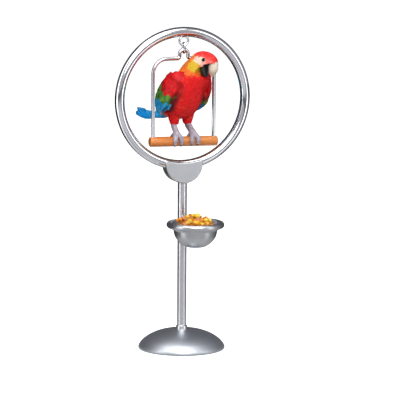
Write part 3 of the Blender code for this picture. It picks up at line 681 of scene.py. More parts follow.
def lie_of_feathers(part, point):
    """Which way a feather rooted at a point runs, before it is laid against the skin."""
    forward, left, up = bird_place(point)
    if part.startswith("wing"):
        return FORWARD * WING_ALONG.x + UP * WING_ALONG.y - LEFT * copysign(1.0, left) * 0.12
    if part.startswith("thigh"):
        return -UP - FORWARD * 0.12
    along = toward_tail(forward, up)
    if part in ("head", "neck"):
        local = head_place(point)
        out = Vector((local.x - 11.0, local.y * 0.9, local.z + 2.0 - 0.4 * max(local.z, 0.0))).normalized()
        swept = HEAD_TURN @ Vector((out.x, out.y * 0.5, out.z * 0.6 - 0.25))
        share = max(ease(-local.x, 1.0, 9.0), ease(-local.z, 3.0, 9.0))
        return swept.normalized() * (1 - share) + along * share
    return along


# ---- the macaw's markings, painted highlights and painted shade

def tones(*colours):
    """The main colour of one paint, its painted-highlight colour and its painted-shade colour."""
    return tuple(srgb(*colour) for colour in colours)


RED = tones((222, 16, 22), (246, 72, 52), (138, 6, 14))
WING_RED = tones((194, 12, 20), (226, 44, 44), (116, 4, 12))
CROWN = tones((214, 40, 40), (240, 104, 90), (146, 14, 20))
BROW = tones((234, 96, 88), (246, 150, 138), (190, 50, 50))
ORANGE = tones((226, 104, 34), (246, 156, 76), (168, 56, 18))
NAPE = tones((180, 88, 30), (224, 146, 60), (134, 50, 18))
MUSTARD = tones((198, 160, 26), (228, 200, 66), (140, 100, 12))
CREAM = tones((222, 196, 172), (240, 222, 204), (202, 152, 132))
GREEN = tones((54, 118, 42), (150, 192, 74), (18, 64, 26))
BLUE = tones((34, 166, 226), (136, 216, 246), (12, 96, 168))
DARK_BLUE = tones((10, 80, 132), (36, 124, 170), (4, 40, 76))
TAIL_BLUE = tones((14, 130, 200), (86, 186, 230), (6, 76, 136))
SALMON = tones((236, 96, 80), (250, 168, 146), (180, 50, 44))
# A dark red used only as painted shade on the wing.
SHADE_RED = tones((96, 4, 12), (150, 14, 20), (60, 2, 8))
INK = tones((20, 16, 18), (44, 36, 38), (8, 6, 8))
# How much the painted shade darkens a colour at its strongest.
PAINTED_SHADE_STRENGTH = 0.9


def mixed(low, high, share):
    return tuple(blend(a, b, share) for a, b in zip(low, high))


def layered(shade, *layers):
    """Paints laid over a first one, each with its strength."""
    for paint, strength in layers:
        shade = mixed(shade, paint, strength)
    return shade


def oval(x, y, centre, size):
    return hypot((x - centre[0]) / size[0], (y - centre[1]) / size[1])


def head_marking(point):
    """Red crown, cream bare face, yellow cheek, and orange round the neck down to the red breast."""
    x, y, z = head_place(point)
    wobble = 0.5 * noise.noise(Vector(point) * 420.0)
    level = (x + 0.1) * 0.94 - (z - 1.7) * 0.34
    rise = (x + 0.1) * 0.34 + (z - 1.7) * 0.94
    tall = 3.5 if rise > 0 else 2.0 + 1.4 * ease(level, 0.0, 3.0)
    face = 1 - ease(hypot(level / 5.3, rise / tall) + 0.08 * wobble, 0.92, 1.04)
    brow = 5.0 - 0.62 * max(x - 3.0, 0.0) + 0.25 * max(-x - 2.0, 0.0)
    crown = ease(z + 0.5 * wobble, brow - 0.5, brow + 0.5) * ease(x, -9.0, -3.0)
    inside = ease(5.4 - abs(y), 0.0, 0.6) * ease(x, -1.4, -0.8) * ease(z, -8.2, -7.4)
    inside *= ease(0.8 - z, 0.0, 0.6) * ease(7.2 - x, 0.0, 0.6)
    return layered(
        ORANGE,
        (RED, ease(-z + wobble, 6.6, 9.4)),
        (NAPE, 0.8 * (ease(-x, 5.0, 10.0) * ease(z, -6.0, -1.0))),
        (RED, ease(x, 0.5, 4.0) * ease(-z, 0.5, 3.0)),
        (BROW, ease(x, -4.0, -2.0) * ease(z, -2.0, -0.5)),
        (MUSTARD, 1 - ease(oval(x, z, (-4.0, -1.8), (4.1, 4.1)) + 0.1 * wobble, 0.86, 1.06)),
        (CREAM, face),
        (BROW, 0.5 * (ease(x - 0.6 * z, 0.0, 3.0) * face)),
        (BROW, ease(x, 4.4, 5.8) * ease(z, -0.4, 0.8)),
        (CROWN, crown),
        (INK, max(1 - ease(oval(x, z, *GAPE), 0.85, 1.0), inside)),
    )


def wing_marking(left, forward, up, point):
    """Red shoulder, a green band and blue flight feathers."""
    along, lower = wing_place(forward, up)
    lead = wing_lead(left)
    wobble = 1.2 * noise.noise(Vector(point) * 260.0)
    # Painted shade: the wing's upper part darkens in dark red along towards the green band.
    back_shade = 0.7 * ease(along + 0.33 * lower - lead, 5.0, 11.0) * (1 - ease(lower, 0.5, 5.5))
    green = ease(along + 0.33 * lower - lead + wobble, 11.4, 11.5)
    green *= 1 - ease(under_wing(forward, left, up), 0.0, 0.4)
    lime = mixed(GREEN, (GREEN[1], GREEN[1], GREEN[0]), 0.45 * ease(wobble, -0.2, 0.7))
    return layered(
        WING_RED,
        # Painted highlight: a lighter red towards the wing's lower, leading edge.
        (RED, ease(lower, 3.5, 6.5)),
        (SHADE_RED, back_shade),
        (lime, green),
        (BLUE, ease(along + 0.45 * lower - lead + wobble, 20.0, 20.1)),
        (DARK_BLUE, ease(along + 0.2 * lower, 30.0, 40.0) * 0.7),
    )


def painted_shade(part, point):
    """How much painted shade lies in the creases: beside the wings and along their lower edges, over the
    thighs, and as a painted shadow under the bill.
    """
    forward, left, up = bird_place(point)
    off = under_wing(forward, left, up)
    if part == "trunk" and abs(left) > 5.0 and -0.5 < off < 6.0 and up > 166.0 and forward > -14.0:
        deep = 0.94 - 0.5 * ease(up, 177.0, 185.0)
        return deep * (1 - ease(off, 1.7, 4.4)) * ease(up, 166.0, 169.0)
    if part.startswith("wing"):
        along, _ = wing_place(forward, up)
        return ease(off, -1.3, 0.3) * (0.3 + 0.4 * ease(along, 2.0, 9.0)) * (1 - ease(along, 12.0, 17.0))
    if part.startswith("thigh"):
        return 0.6 * (1 - ease(TREES["trunk"].find_nearest(point)[3] / MM, 0.2, 1.8))
    if part in ("neck", "trunk", "head"):
        return 0.6 * (1 - ease(dist(head_place(point), (5.0, 0.0, -9.5)), 2.5, 5.5))
    return 0.0


def with_painted_shade(colour, part, point, bright=1.0):
    """A colour as it looks at a place, darker where painted shade lies."""
    deep = bright * (1 - PAINTED_SHADE_STRENGTH * painted_shade(part, point))
    return [c * deep for c in colour]


def marking(part, point):
    """The paint at a place on the bird: its main, painted-highlight and painted-shade colours."""
    if part in ("head", "neck"):
        return head_marking(point)
    forward, left, up = bird_place(point)
    if part.startswith("wing"):
        return wing_marking(left, forward, up, point)
    if part == "tail":
        return mixed(TAIL_BLUE, DARK_BLUE, ease(-forward, 56.0, 69.0) * (0.2 + 0.7 * ease(up, 160.8, 162.0)))
    if part.startswith("thigh"):
        return RED
    spot = 1 - ease(oval(forward, up, (-17.2, 164.4), (8.0, 2.3)), 0.85, 1.1)
    return layered(RED, (BLUE, ease(-forward + 0.4 * (up - 168.0), 13.5, 15.5)), (SALMON, spot))


# ---- skin

def grown_copy(node, amount):
    """A merged copy of one of the solids, grown all round."""
    obj = linked(node + "_copy", NODES[node].data.copy())
    obj.data.materials.clear()
    editing(obj, action="SELECT")
    bpy.ops.mesh.remove_doubles(threshold=MERGE)
    editing(obj, action="SELECT")
    bpy.ops.transform.shrink_fatten(value=amount)
    done_editing()
    return obj


def thinned(obj, amount):
    """Moves the surface inwards, by less where the piece is a thin blade."""
    tree = tree_of(obj)
    moves = []
    for vertex in obj.data.vertices:
        inward = -vertex.normal
        depth = tree.ray_cast(vertex.co + inward * 0.03 * MM, inward)[3]
        moves.append(inward * min(amount, BLADE_SHARE * (MM if depth is None else depth)))
    for vertex, move in zip(obj.data.vertices, moves):
        vertex.co += move
    modify(obj, "SMOOTH", factor=0.5, iterations=3)


def softened(nodes, voxel, rounds, swell, sink, pads=()):
    """One closed, rounded piece over copies of solids that nearly touch, with added pads of clay (mm)."""
    swell *= MM
    obj = joined([grown_copy(node, swell) for node in nodes] + list(pads))
    modify(obj, "REMESH", mode="VOXEL", voxel_size=voxel * MM)
    modify(obj, "SMOOTH", factor=0.5, iterations=rounds)
    thinned(obj, swell + sink * MM)
    only(obj)
    bpy.ops.object.shade_smooth()
    return obj


# Lower edge of the painted wing: distance along it from the shoulder, and how low the edge lies (mm).
WING_EDGE = (-6.0, -3.0, 0.0, 2.0, 6.5, 10.5, 18.2, 24.0, 34.0, 45.0)
WING_EDGE_LOW = (1.0, 4.0, 6.0, 7.1, 8.1, 9.1, 10.8, 9.2, 5.0, 3.5)


def under_wing(forward, left, up):
    """How far below the folded wing's painted lower edge a place on the body lies, in millimetres."""
    along, lower = wing_place(forward - wing_lead(left), up)
    return lower - float(np.interp(along, WING_EDGE, WING_EDGE_LOW))


def nearest_part(point):
    """The part that a place on the skin belongs to; the wings reach over the flanks."""
    name = min(TREES, key=lambda name: TREES[name].find_nearest(point)[3])
    forward, left, up = bird_place(point)
    if name in ("trunk", "neck") and abs(left) > 7.5 and 168.0 < up < 198.5:
        if under_wing(forward, left, up) < 0:
            return "wing_left" if left > 0 else "wing_right"
    return name


# Pads that round each wing: along it, towards its lower edge, out from the midline, and three radii (mm).
WING_PADS = (
    (-1.6, -1.9, 11.0, 4.2, 4.2, 4.2),
    (0.6, 2.8, 11.2, 5.5, 3.2, 2.3),
    (14.0, 7.4, 11.9, 7.5, 3.0, 1.9),
)

# Pads under the roof of the tail and round its three feather tips: forward, left, up, and three radii (mm).
TAIL_PADS = (
    (-59.0, 0.0, 160.7, 8.0, 3.8, 1.6),
    (-52.0, 0.0, 159.6, 9.0, 3.9, 1.4),
    (-66.2, 0.0, 162.4, 5.2, 2.1, 1.0),
    (-64.4, -2.7, 160.6, 4.6, 1.5, 1.0),
    (-64.4, 2.7, 160.6, 4.6, 1.5, 1.0),
)


def pad_of_clay(radii, axes, place):
    """A rounded pad with three radii in millimetres along three axes."""
    pad = added(bpy.ops.mesh.primitive_ico_sphere_add, subdivisions=4, radius=1.0)
    pad.data.transform(Matrix.Diagonal((*radii, 1.0)) @ Matrix.Scale(MM, 4))
    pad.data.transform(Matrix.Translation(place) @ Matrix(axes).transposed().to_4x4())
    return pad


def clay_pads():
    """Pads that round the wings and close the tail's end."""
    axes = (FORWARD * WING_ALONG.x + UP * WING_ALONG.y, FORWARD * WING_DOWN.x + UP * WING_DOWN.y, LEFT)
    made = []
    for side in (-1.0, 1.0):
        for along, lower, out, *radii in WING_PADS:
            flat = SHOULDER + WING_ALONG * along + WING_DOWN * lower
            left = side * out + side * 0.3 + MIDLINE
            place = (FORWARD * (flat.x + wing_lead(side)) + LEFT * left + UP * flat.y) * MM
            made.append(pad_of_clay(radii, axes, place))
    for forward, left, up, *radii in TAIL_PADS:
        place = (FORWARD * forward + LEFT * (MIDLINE + left) + UP * up) * MM
        made.append(pad_of_clay(radii, (FORWARD, LEFT, UP), place))
    return made


def build_skin():
    """The closed skin under the coat, with its unwrap, its paint and the part that each place belongs to."""
    skin = softened(FLESH, VOXEL, 7, SWELL, COAT_DEPTH, clay_pads())
    for vertex in skin.data.vertices:
        x, y, z = head_place(vertex.co)
        if x > 11.2 and z < 1.2:
            vertex.co = head_point(x, y * (1 - 0.1 * ease(x, 11.2, 12.2)), z)
    editing(skin, action="SELECT")
    bpy.ops.uv.smart_project(angle_limit=radians(66), island_margin=0.002)
    done_editing()
    skin.data.uv_layers[0].name = "Skin"
    spots = [v.co for v in skin.data.vertices]
    parts = [nearest_part(spot) for spot in spots]
    # The skin's colour carries the painted shade of the creases and the painted shadow under the bill.
    store_paint(skin.data, [with_painted_shade(marking(part, spot)[0], part, spot) for part, spot in zip(parts, spots)])
    settle(skin, "macaw_skin", "swing", SKIN_PAINT, "red_paint", *FLESH)
    return skin, parts


# ---- feathers

LONG_ROWS = ((0.0, 0.42), (0.2, 0.76), (0.44, 0.95), (0.66, 1.0), (0.83, 0.86), (0.94, 0.56), (1.0, 0.14))
SHORT_ROWS = ((0.0, 0.5), (0.34, 0.9), (0.66, 1.0), (0.9, 0.66), (1.0, 0.18))
WIDE_COLUMNS = (-1.0, -0.5, 0.0, 0.5, 1.0)
FEW_COLUMNS = (-1.0, 0.0, 1.0)
# How strongly a vane's tips and edges take the painted highlight colour, one picked for each vane.
EDGE_HIGHLIGHTS = (0.1, 0.15, 0.2, 0.3, 0.75)


# Feather sizes: length, half width, distance between roots, how far the tip stands off the skin (mm).
SIZES = {
    "face": (1.0, 0.34, 0.75, 0.08),
    "head": (2.3, 0.74, 1.0, 0.20),
    "neck": (3.2, 1.08, 1.45, 0.30),
    "trunk": (5.4, 2.0, 2.5, 0.34),
    "thigh": (3.6, 1.2, 1.6, 0.28),
    "wing": (4.6, 1.7, 2.1, 0.40),
    "band": (6.4, 1.6, 2.2, 0.44),
    "flight": (13.0, 1.5, 2.6, 0.5),
}


COAT_OF = {"face": "coat_head", "head": "coat_head", "neck": "coat_neck", "trunk": "coat_body"}
COAT_OF["thigh"] = "coat_thighs"


def strays(owner, place):
    """Whether a wing's feather has run off the wing on to the body, or the other way round."""
    part = nearest_part(place)
    if owner.startswith("wing"):
        return part != owner and part != "tail" and under_wing(*bird_place(place)) > 0.2
    return part.startswith("wing")


class Coat:
    """Collects the vanes of one piece of the coat, over a skin and its unwrap."""

    def __init__(self, name, tree, chart):
        self.name, self.tree, self.chart = name, tree, chart
        self.points, self.faces, self.paint, self.patch = [], [], [], []

    def lay(self, root, lie, size, rows, columns, shades, bright, edge_highlight, owner, loose=False):
        """Adds a thin closed vane that follows the skin; gives up at a sharp edge or on another part."""
        length, half_width, _, lift = (value * MM for value in size)
        place, up, face, _ = self.tree.find_nearest(root)
        heading = (lie - up * lie.dot(up)).normalized()
        top, under, paint, patch = [], [], [], []
        travelled = 0.0
        for row, (share, width) in enumerate(rows):
            step = (share - travelled) * length
            travelled = share
            if step > 0:
                reached = place + heading * step
                place, ahead_up, _, _ = self.tree.find_nearest(reached)
                folded = ahead_up.dot(up) < 0.75 and (place - reached).dot(up) < -0.1 * MM
                up = ahead_up
                heading = (heading - up * heading.dot(up)).normalized()
                if not loose and (folded or strays(owner, place)):
                    return False
            side = up.cross(heading)
            for x in columns:
                spot, normal, _, _ = self.tree.find_nearest(place + side * (x * width * half_width))
                rise = lift * (0.12 + 0.88 * share ** 1.2) + 0.35 * lift * (1 - x * x)
                edge = abs(x) == 1.0 or row == 0 or row == len(rows) - 1
                top.append(spot + normal * (rise - (0.42 * lift if edge else 0.0)))
                under.append(None if edge else spot + normal * (rise - 0.85 * lift))
                # Painted highlight on the vane's tip and edges, painted shade towards its root.
                highlight_share = edge_highlight * min(1.0, share ** 4 + 0.5 * abs(x) ** 3 * share)
                root_shade = 0.35 * (1 - share) ** 2
                colour = blend(blend(shades[0], shades[2], root_shade), shades[1], highlight_share)
                # The painted shade of the creases and the painted shadow under the bill darken the vane's
                # colour.
                paint.append(with_painted_shade(colour, owner, spot, bright))
                u, v = self.chart[face]
                patch.append((u + 0.0015 * x, v + 0.003 * (share - 0.5)))
        self.weave(top, under, paint, patch, len(columns))
        return True

    def lay_longest(self, shares, forced, root, lie, size, *rest):
        """Lays a vane at the first share of its length that fits, or else at a forced share, if any."""
        for share in shares:
            if self.lay(root, lie, (size[0] * share, *size[1:]), *rest):
                return
        if forced:
            self.lay(root, lie, (size[0] * forced, *size[1:]), *rest, loose=True)

    def weave(self, top, under, paint, patch, columns):
        """Faces of one vane: its outer side, and an inner side that shares its edge."""
        start = len(self.points)
        self.points += top
        below = list(range(start, start + len(top)))
        inner = [i for i, spot in enumerate(under) if spot is not None]
        for i in inner:
            below[i] = len(self.points)
            self.points.append(under[i])
        self.paint += paint + [paint[i] for i in inner]
        self.patch += patch + [patch[i] for i in inner]
        for r in range(len(top) // columns - 1):
            for c in range(columns - 1):
                a = r * columns + c
                corners = (a, a + columns, a + columns + 1, a + 1)
                self.faces.append(tuple(start + k for k in corners))
                self.faces.append(tuple(below[k] for k in reversed(corners)))

    def build(self):
        mesh = bpy.data.meshes.new(self.name)
        mesh.from_pydata([tuple(p) for p in self.points], [], self.faces)
        obj = linked(self.name, mesh)
        store_paint(mesh, self.paint)
        layer = mesh.uv_layers.new(name="OFBake")
        corners = np.zeros(len(mesh.loops), np.int32)
        mesh.loops.foreach_get("vertex_index", corners)
        layer.data.foreach_set("uv", np.array(self.patch, np.float32)[corners].ravel())
        only(obj)
        bpy.ops.object.shade_smooth_by_angle(angle=radians(60))
        settle(obj, self.name, "swing", COAT_PAINT, "red_paint")


def kind_of(part, point):
    """Which feather size grows at a place."""
    if part in ("head", "neck"):
        x, y, z = head_place(point)
        if oval(x, z, (2.8, 1.5), (5.9, 3.6)) < 0.95:
            return "face"
        return "head" if z > -3.5 and x > -9.0 else "neck"
    if part.startswith("thigh"):
        return "thigh"
    if part.startswith("wing"):
        forward, left, up = bird_place(point)
        along, lower = wing_place(forward, up)
        reach = along + 0.38 * lower - wing_lead(left)
        if reach < 10.0:
            return "wing"
        return "band" if reach < 17.5 else "flight"
    return part


def scattered(spots, kinds, normals, seed):
    """Roots in a shuffled order, each kept clear of its neighbours by its own spacing."""
    order = list(range(len(spots)))
    random.Random(seed).shuffle(order)
    taken = {}
    kept = []
    for i in order:
        if kinds[i] is None:
            continue
        space = SIZES[kinds[i]][2] * MM
        x, y, z = home = tuple(int(c / MM // 1) for c in spots[i])
        reach = int(space / MM) + 1
        near = (
            other
            for dx, dy, dz in product(range(-reach, reach + 1), repeat=3)
            for other in taken.get((x + dx, y + dy, z + dz), ())
        )
        if not any((spots[k] - spots[i]).length < space and normals[k].dot(normals[i]) > 0.2 for k in near):
            taken.setdefault(home, []).append(i)
            kept.append(i)
    return kept


def bare(point):
    """Places with no feathers: round the eyes, under the bill and inside its notch."""
    x, y, z = head_place(point)
    if dist((x, abs(y), z), (3.0, 6.45, 3.0)) < 1.7 or oval(x, z, *GAPE) < 1.0:
        return True
    return BILL_TREE.find_nearest(point)[3] < 0.6 * MM or (x > 5.2 and z < 1.2 and abs(y) < 3.6)


def build_coat(skin, parts):
    """Vanes rooted all over the skin, gathered in one piece for each region."""
    tree = tree_of(skin)
    flat = skin.data.uv_layers["Skin"].data
    chart = [tuple(flat[t.loops[0]].uv) for t in skin.data.loop_triangles]
    spots = [v.co.copy() for v in skin.data.vertices]
    normals = [v.normal.copy() for v in skin.data.vertices]
    kinds = []
    for part, spot in zip(parts, spots):
        kinds.append(None if bare(spot) or part == "tail" else kind_of(part, spot))
    coats = {}
    draw = random.Random(11)
    for i in scattered(spots, kinds, normals, 5):
        kind, part = kinds[i], parts[i]
        name = COAT_OF.get(kind, "coat_" + part)
        coat = coats.setdefault(name, Coat(name, tree, chart))
        lie = lie_of_feathers(part, spots[i])
        turn = Matrix.Rotation(radians(draw.uniform(-9, 9)), 3, normals[i])
        size = [value * draw.uniform(0.9, 1.1) for value in SIZES[kind]]
        shades = marking(part, spots[i] + lie.normalized() * size[0] * 0.5 * MM)
        bright = draw.uniform(0.94, 1.04)
        # How strongly this vane's tips and edges take the painted highlight.
        edge_highlight = draw.choice(EDGE_HIGHLIGHTS) if kind != "flight" else draw.uniform(0.3, 0.7)
        if kind == "wing":
            size[3] *= 0.7
        form = (SHORT_ROWS, FEW_COLUMNS) if kind in ("face", "head", "neck") else (LONG_ROWS, WIDE_COLUMNS)
        paint = (shades, bright, edge_highlight)
        forced = 0.65 if kind in ("wing", "trunk", "neck") else 0.25
        coat.lay_longest((1.0, 0.8, 0.6, 0.45), forced, spots[i], turn @ lie, size, *form, *paint, part)
    coats["coat_tail"] = Coat("coat_tail", tree, chart)
    lay_tail(coats["coat_tail"], draw)
    for coat in coats.values():
        coat.build()


def lay_tail(coat, draw):
    """Long graduated feathers over and under the tail, the middle ones longest."""
    for above in (1.0, -1.0):
        for number, start in enumerate((-30.0, -39.0, -50.0)):
            for across in (-1.0, -0.5, 0.5, 1.0, 0.0):
                left = across * (3.6 if number else 3.0) + MIDLINE
                up = 163.2 + 4.0 * above - abs(across) * 1.5
                root = (FORWARD * start + LEFT * left + UP * up) * MM
                length = (18.0, 19.0, 20.5)[number] - 3.5 * abs(across)
                shades = marking("tail", root + -FORWARD * length * 0.6 * MM)
                lie = -FORWARD + LEFT * across * 0.015
                # The last value is how strongly each tail feather takes the painted highlight on its tip and
                # edges.
                paint = (shades, draw.uniform(0.92, 1.06), 0.5)
                size = (length, 1.75, 0.0, 0.5)
                shares = (1.0, 0.9, 0.8, 0.7, 0.6)
                coat.lay_longest(shares, None, root, lie, size, LONG_ROWS, WIDE_COLUMNS, *paint, "tail")


# ---- bill, eyes and feet

CLAW_ARC = (108.0, 150.0)


def build_bill():
    """Horn-coloured upper half with painted shade darkening it towards its tip, over a short black lower
    half.
    """
    upper = softened(["bill_upper"], 0.22, 14, 0.12, -0.02)
    shades = []
    for vertex in upper.data.vertices:
        x, y, z = head_place(vertex.co)
        tuck = ease(z, -4.0, -1.0) * (1 - ease(x, 11.2, 12.4)) * (1 - ease(z, 0.1, 0.9))
        tuck -= 0.5 * ease(z, 0.6, 1.4)
        vertex.co = head_point(x - 0.75 * ease(z, -5.0, 0.5), y * 1.04, z + 1.5 * ease(-z, 3.0, 10.5) + tuck)
        # Painted shade: the horn colour darkens downwards to the tip.
        tone = blend(srgb(210, 196, 178), srgb(186, 168, 148), ease(-z, 1.0, 10.5))
        shades.append(blend(tone, srgb(196, 166, 146), 0.7 * (1 - ease(x, 5.5, 8.0))))
    store_paint(upper.data, shades)
    settle(upper, "upper_bill", "swing", BILL_PAINT, "bone_paint", "bill_upper")
    lower = softened(["bill_lower"], 0.22, 6, 0.1, -0.05)
    top = max(head_place(v.co).z for v in lower.data.vertices)
    for vertex in lower.data.vertices:
        x, y, z = head_place(vertex.co)
        vertex.co = head_point(x - 0.5, y * 1.08, z + 0.9 * ease(z, top - 7.0, top))
    settle(lower, "lower_bill", "swing", BLACK, "black_paint", "bill_lower")


def build_eyes():
    """Glossy black domes, each in a thin rim of bare skin."""
    for name, side in (("right", -1.0), ("left", 1.0)):
        low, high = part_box("eye_" + name)
        middle = (low + high) / 2
        outward = (HEAD_TURN @ Vector((0.25, side, 0.12))).normalized()
        ball = added(bpy.ops.mesh.primitive_uv_sphere_add, segments=32, ring_count=20, radius=1.14 * MM)
        editing(ball)
        choose(ball.data.vertices, lambda vertex: vertex.co.z > 0.75 * MM)
        bpy.ops.transform.resize(value=(1.0, 1.0, 1.06))
        done_editing()
        ball.data.transform(Matrix.Translation(middle) @ turned_to(outward))
        settle(tidy(ball, 80), f"eye_{name}_dome", "swing", EYE_BLACK, "black_paint", "eye_" + name)
        lid = wire_start(0.15 * MM, (1.17 * MM, 0.0, 0.0), (0, 1, 0), 10)
        bend((0.0, 0.0, 0.0), 360, 36, (0, 0, 1))
        tidy(lid, 60)
        lid.data.transform(Matrix.Translation(middle - outward * 0.12 * MM) @ turned_to(outward))
        store_paint(lid.data, CREAM[0])
        settle(lid, "eyelid_" + name, "swing", SKIN_PAINT, "bone_paint")


def claw(name, across, way):
    """A short hooked claw that follows the perch round from the end of a toe."""
    obj = added(bpy.ops.mesh.primitive_uv_sphere_add, segments=12, ring_count=12, radius=1.0)
    for vertex in obj.data.vertices:
        t = (1 - vertex.co.z) / 2
        angle = radians(CLAW_ARC[0] + (CLAW_ARC[1] - CLAW_ARC[0]) * t)
        reach = PERCH_RADIUS + 0.95 - 0.5 * t + vertex.co.y * 0.78 * (1 - t) ** 0.4
        side = across + vertex.co.x * 0.78 * (1 - t) ** 0.4
        vertex.co = Vector((side, way * reach * sin(angle), PERCH_Z + reach * cos(angle))) * MM
    settle(tidy(obj, 70), name, "swing", CLAW, "grey_paint")


def build_feet():
    """Thick grey feet that grip the perch, their shanks tucked into the thighs, with dark claws."""
    for name, middle in (("foot_right", -4.5), ("foot_left", 7.9)):
        foot = softened([name], 0.25, 12, 0.12, -0.06)
        for vertex in foot.data.vertices:
            up = vertex.co.z / MM
            rise = ease(up, 155.0, 157.6)
            vertex.co.x -= (vertex.co.x - middle * MM) * 0.26 * ease(up, 148.5, 154.0)
            vertex.co += (UP * 1.0 * rise - FORWARD * 1.5 * ease(up, 152.5, 157.6)) * MM
        settle(foot, name + "_form", "swing", GREY, "grey_paint", name)
        for number, (spread, way) in enumerate(((-2.3, -1.0), (2.3, -1.0), (-2.0, 1.0))):
            claw(f"{name}_claw_{number}", middle + spread, way)


# ---- food

FOOD_PAINTS = ((234, 172, 30), (222, 134, 24), (214, 186, 40), (196, 116, 22), (226, 196, 70))
FOOD_PAINTS += ((184, 164, 40),)
NUGGETS = 46
GOLDEN_TURN = 2.39996


def build_food():
    """A heap of small pressed nuggets in yellow, orange and ochre over a bed that fills the bowl."""
    bed = softened(["food"], 0.35, 3, 0.1, 0.35)
    store_paint(bed.data, srgb(176, 106, 24))
    tree = tree_of(bed)
    low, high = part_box("food")
    middle = (low + high) / 2
    pattern = added(bpy.ops.mesh.primitive_ico_sphere_add, subdivisions=3, radius=1.0 * MM)
    draw = random.Random(23)
    pieces = [bed]
    for number in range(NUGGETS):
        turn = number * GOLDEN_TURN
        reach = sqrt((number + 0.5) / NUGGETS) * ((high.x - low.x) / 2 - 1.5 * MM)
        over = Vector((middle.x + reach * cos(turn), middle.y + reach * sin(turn), high.z + 0.01))
        spot = tree.ray_cast(over, -UP)[0]
        if spot is None:
            continue
        mesh = pattern.data.copy()
        size = Vector((draw.uniform(1.5, 2.2), draw.uniform(1.3, 1.9), draw.uniform(1.1, 1.5)))
        shift = Vector((number * 3.7, 1.0, 2.0))
        for vertex in mesh.vertices:
            swelling = 1 + 0.22 * noise.noise(vertex.co / MM * 1.3 + shift)
            vertex.co = Vector([c * k * swelling for c, k in zip(vertex.co, size)])
        tilt = Euler([draw.uniform(-0.5, 0.5), draw.uniform(-0.5, 0.5), draw.uniform(0, 6.2)])
        mesh.transform(Matrix.Translation(spot - UP * 0.35 * MM) @ tilt.to_matrix().to_4x4())
        top = max(v.co.z for v in mesh.vertices)
        mesh.transform(Matrix.Translation(UP * min(0.0, high.z - top)))
        shade = srgb(*draw.choice(FOOD_PAINTS))
        store_paint(mesh, [[c * draw.uniform(0.92, 1.04) for c in shade] for _ in mesh.vertices])
        pieces.append(linked("nugget", mesh))
    bpy.data.objects.remove(pattern)
    heap = joined(pieces)
    for vertex in heap.data.vertices:
        if vertex.co.z > high.z - 5.0 * MM:
            vertex.co.x += (vertex.co.x - middle.x) * 0.05
            vertex.co.z += (vertex.co.z - high.z + 5.0 * MM) * 0.06
    only(heap)
    bpy.ops.object.shade_smooth()
    settle(heap, "food_heap", "stand", FOOD, "food_plastic", "food")


TREES = {name: tree_of(NODES[name]) for name in FLESH}
BILL_TREE = tree_of(NODES["bill_upper"])
SKIN, SKIN_PARTS = build_skin()
build_coat(SKIN, SKIN_PARTS)
build_bill()
build_eyes()
build_feet()
build_food()


# ---- floor, light and camera

ROOM_GREY = (0.42, 0.42, 0.44)
LEFT_STRIP = -82.0
RIGHT_STRIP = 42.0


def build_floor():
    """A white floor to the eye; the toy's own metal and paint see it grey in front and dark behind."""
    floor = added(bpy.ops.mesh.primitive_plane_add, size=30.0)
    floor.name = "floor"
    finish = Finish("pale_floor")
    pale = finish.mix(finish.speckle(finish.place(), 40.0), (0.93,) * 3, (0.96,) * 3)
    spot = finish.node("SeparateXYZ", {"Vector": finish.place()}).outputs
    dim = finish.mix(finish.spread(spot["Y"], -0.25, 0.15), ROOM_GREY, (0.03,) * 3)
    azimuth = finish.sum(spot["X"], finish.sum(spot["Y"], -1.0, "MULTIPLY"), "ARCTAN2")
    for middle, half in ((LEFT_STRIP, 13.0), (RIGHT_STRIP, 9.0)):
        off = finish.sum(finish.sum(azimuth, radians(middle), "SUBTRACT"), 0.0, "ABSOLUTE")
        card = finish.spread(off, radians(half - 2.0), radians(half + 2.0), 1.0, 0.0)
        dim = finish.mix(card, dim, (0.93,) * 3)
    reach = finish.node("VectorMath", {0: finish.place()}, operation="LENGTH").outputs["Value"]
    dim = finish.mix(finish.spread(reach, 0.08, 0.2), (0.5,) * 3, dim)
    seen = finish.camera_ray()
    glow = finish.mix(seen, (0.0,) * 3, (1.0,) * 3)
    finish.set(Base_Color=finish.mix(seen, dim, pale), Roughness=0.9, Specular_IOR_Level=0.0)
    finish.set(Emission_Color=glow, Emission_Strength=0.80)
    floor.data.materials.append(finish.material)


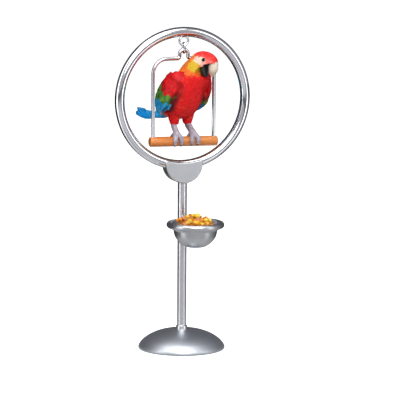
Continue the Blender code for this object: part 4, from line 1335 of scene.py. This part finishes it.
def soft_box(name, azimuth, reach, width, low, high, radiance, aim_z):
    """A lit panel round the toy: its direction, distance, width, lower and upper height and brightness."""
    lamp = bpy.data.lights.new(name, "AREA")
    lamp.shape = "RECTANGLE"
    lamp.size = width
    lamp.size_y = high - low
    lamp.energy = radiance * pi * width * (high - low)
    turn = radians(azimuth)
    spot = Vector((sin(turn) * reach, -cos(turn) * reach, (low + high) / 2))
    obj = linked(name, lamp)
    obj.location = spot
    obj.rotation_euler = (spot - Vector((0.0, 0.0, aim_z))).to_track_quat("Z", "Y").to_euler()


def build_light():
    """Grey surroundings that darken behind the toy, a strip on each side and boxes in front and above."""
    world = bpy.data.worlds.new("studio")
    bpy.context.scene.world = world
    world.use_nodes = True
    nodes = Nodes(world.node_tree)
    way = nodes.node("SeparateXYZ", {"Vector": nodes.node("TexCoord").outputs["Generated"]}).outputs
    room = nodes.mix(nodes.spread(way["Y"], -0.6, 0.5), ROOM_GREY, (0.07, 0.07, 0.08))
    white = nodes.mix(nodes.camera_ray(), room, (1.0,) * 3)
    nodes.feed(white, world.node_tree.nodes["Background"].inputs["Color"])
    soft_box("left_strip", LEFT_STRIP, 0.60, 0.26, 0.0, 0.9, 2.0, 0.45)
    soft_box("front_box", -12.0, 1.2, 1.0, 0.5, 1.15, 5.0, 0.18)
    soft_box("right_strip", RIGHT_STRIP, 0.66, 0.20, 0.0, 0.9, 1.9, 0.45)
    soft_box("top_box", -30.0, 0.55, 1.5, 0.8, 1.9, 3.0, 0.15)


def build_camera():
    """A long lens, 20.5 degrees to the left of the front, looking slightly down."""
    turn = radians(-20.5)
    reach = 2.1
    spot = Vector((sin(turn) * reach, -cos(turn) * reach, 0.4235))
    right = Vector((cos(turn), sin(turn), 0.0))
    aim = Vector((0.0, 0.0, 0.1055)) + right * 0.01245
    data = bpy.data.cameras.new("camera")
    data.sensor_width = 36.0
    data.lens = 36.0 * (spot - aim).length / 0.28
    data.clip_end = 50.0
    camera = linked("camera", data)
    camera.location = spot
    roll = Matrix.Rotation(radians(0.35), 3, "Z")
    camera.rotation_euler = ((spot - aim).to_track_quat("Z", "Y").to_matrix() @ roll).to_euler()
    bpy.context.scene.camera = camera


build_floor()
build_light()
build_camera()
bpy.context.scene.view_settings.view_transform = "Standard"
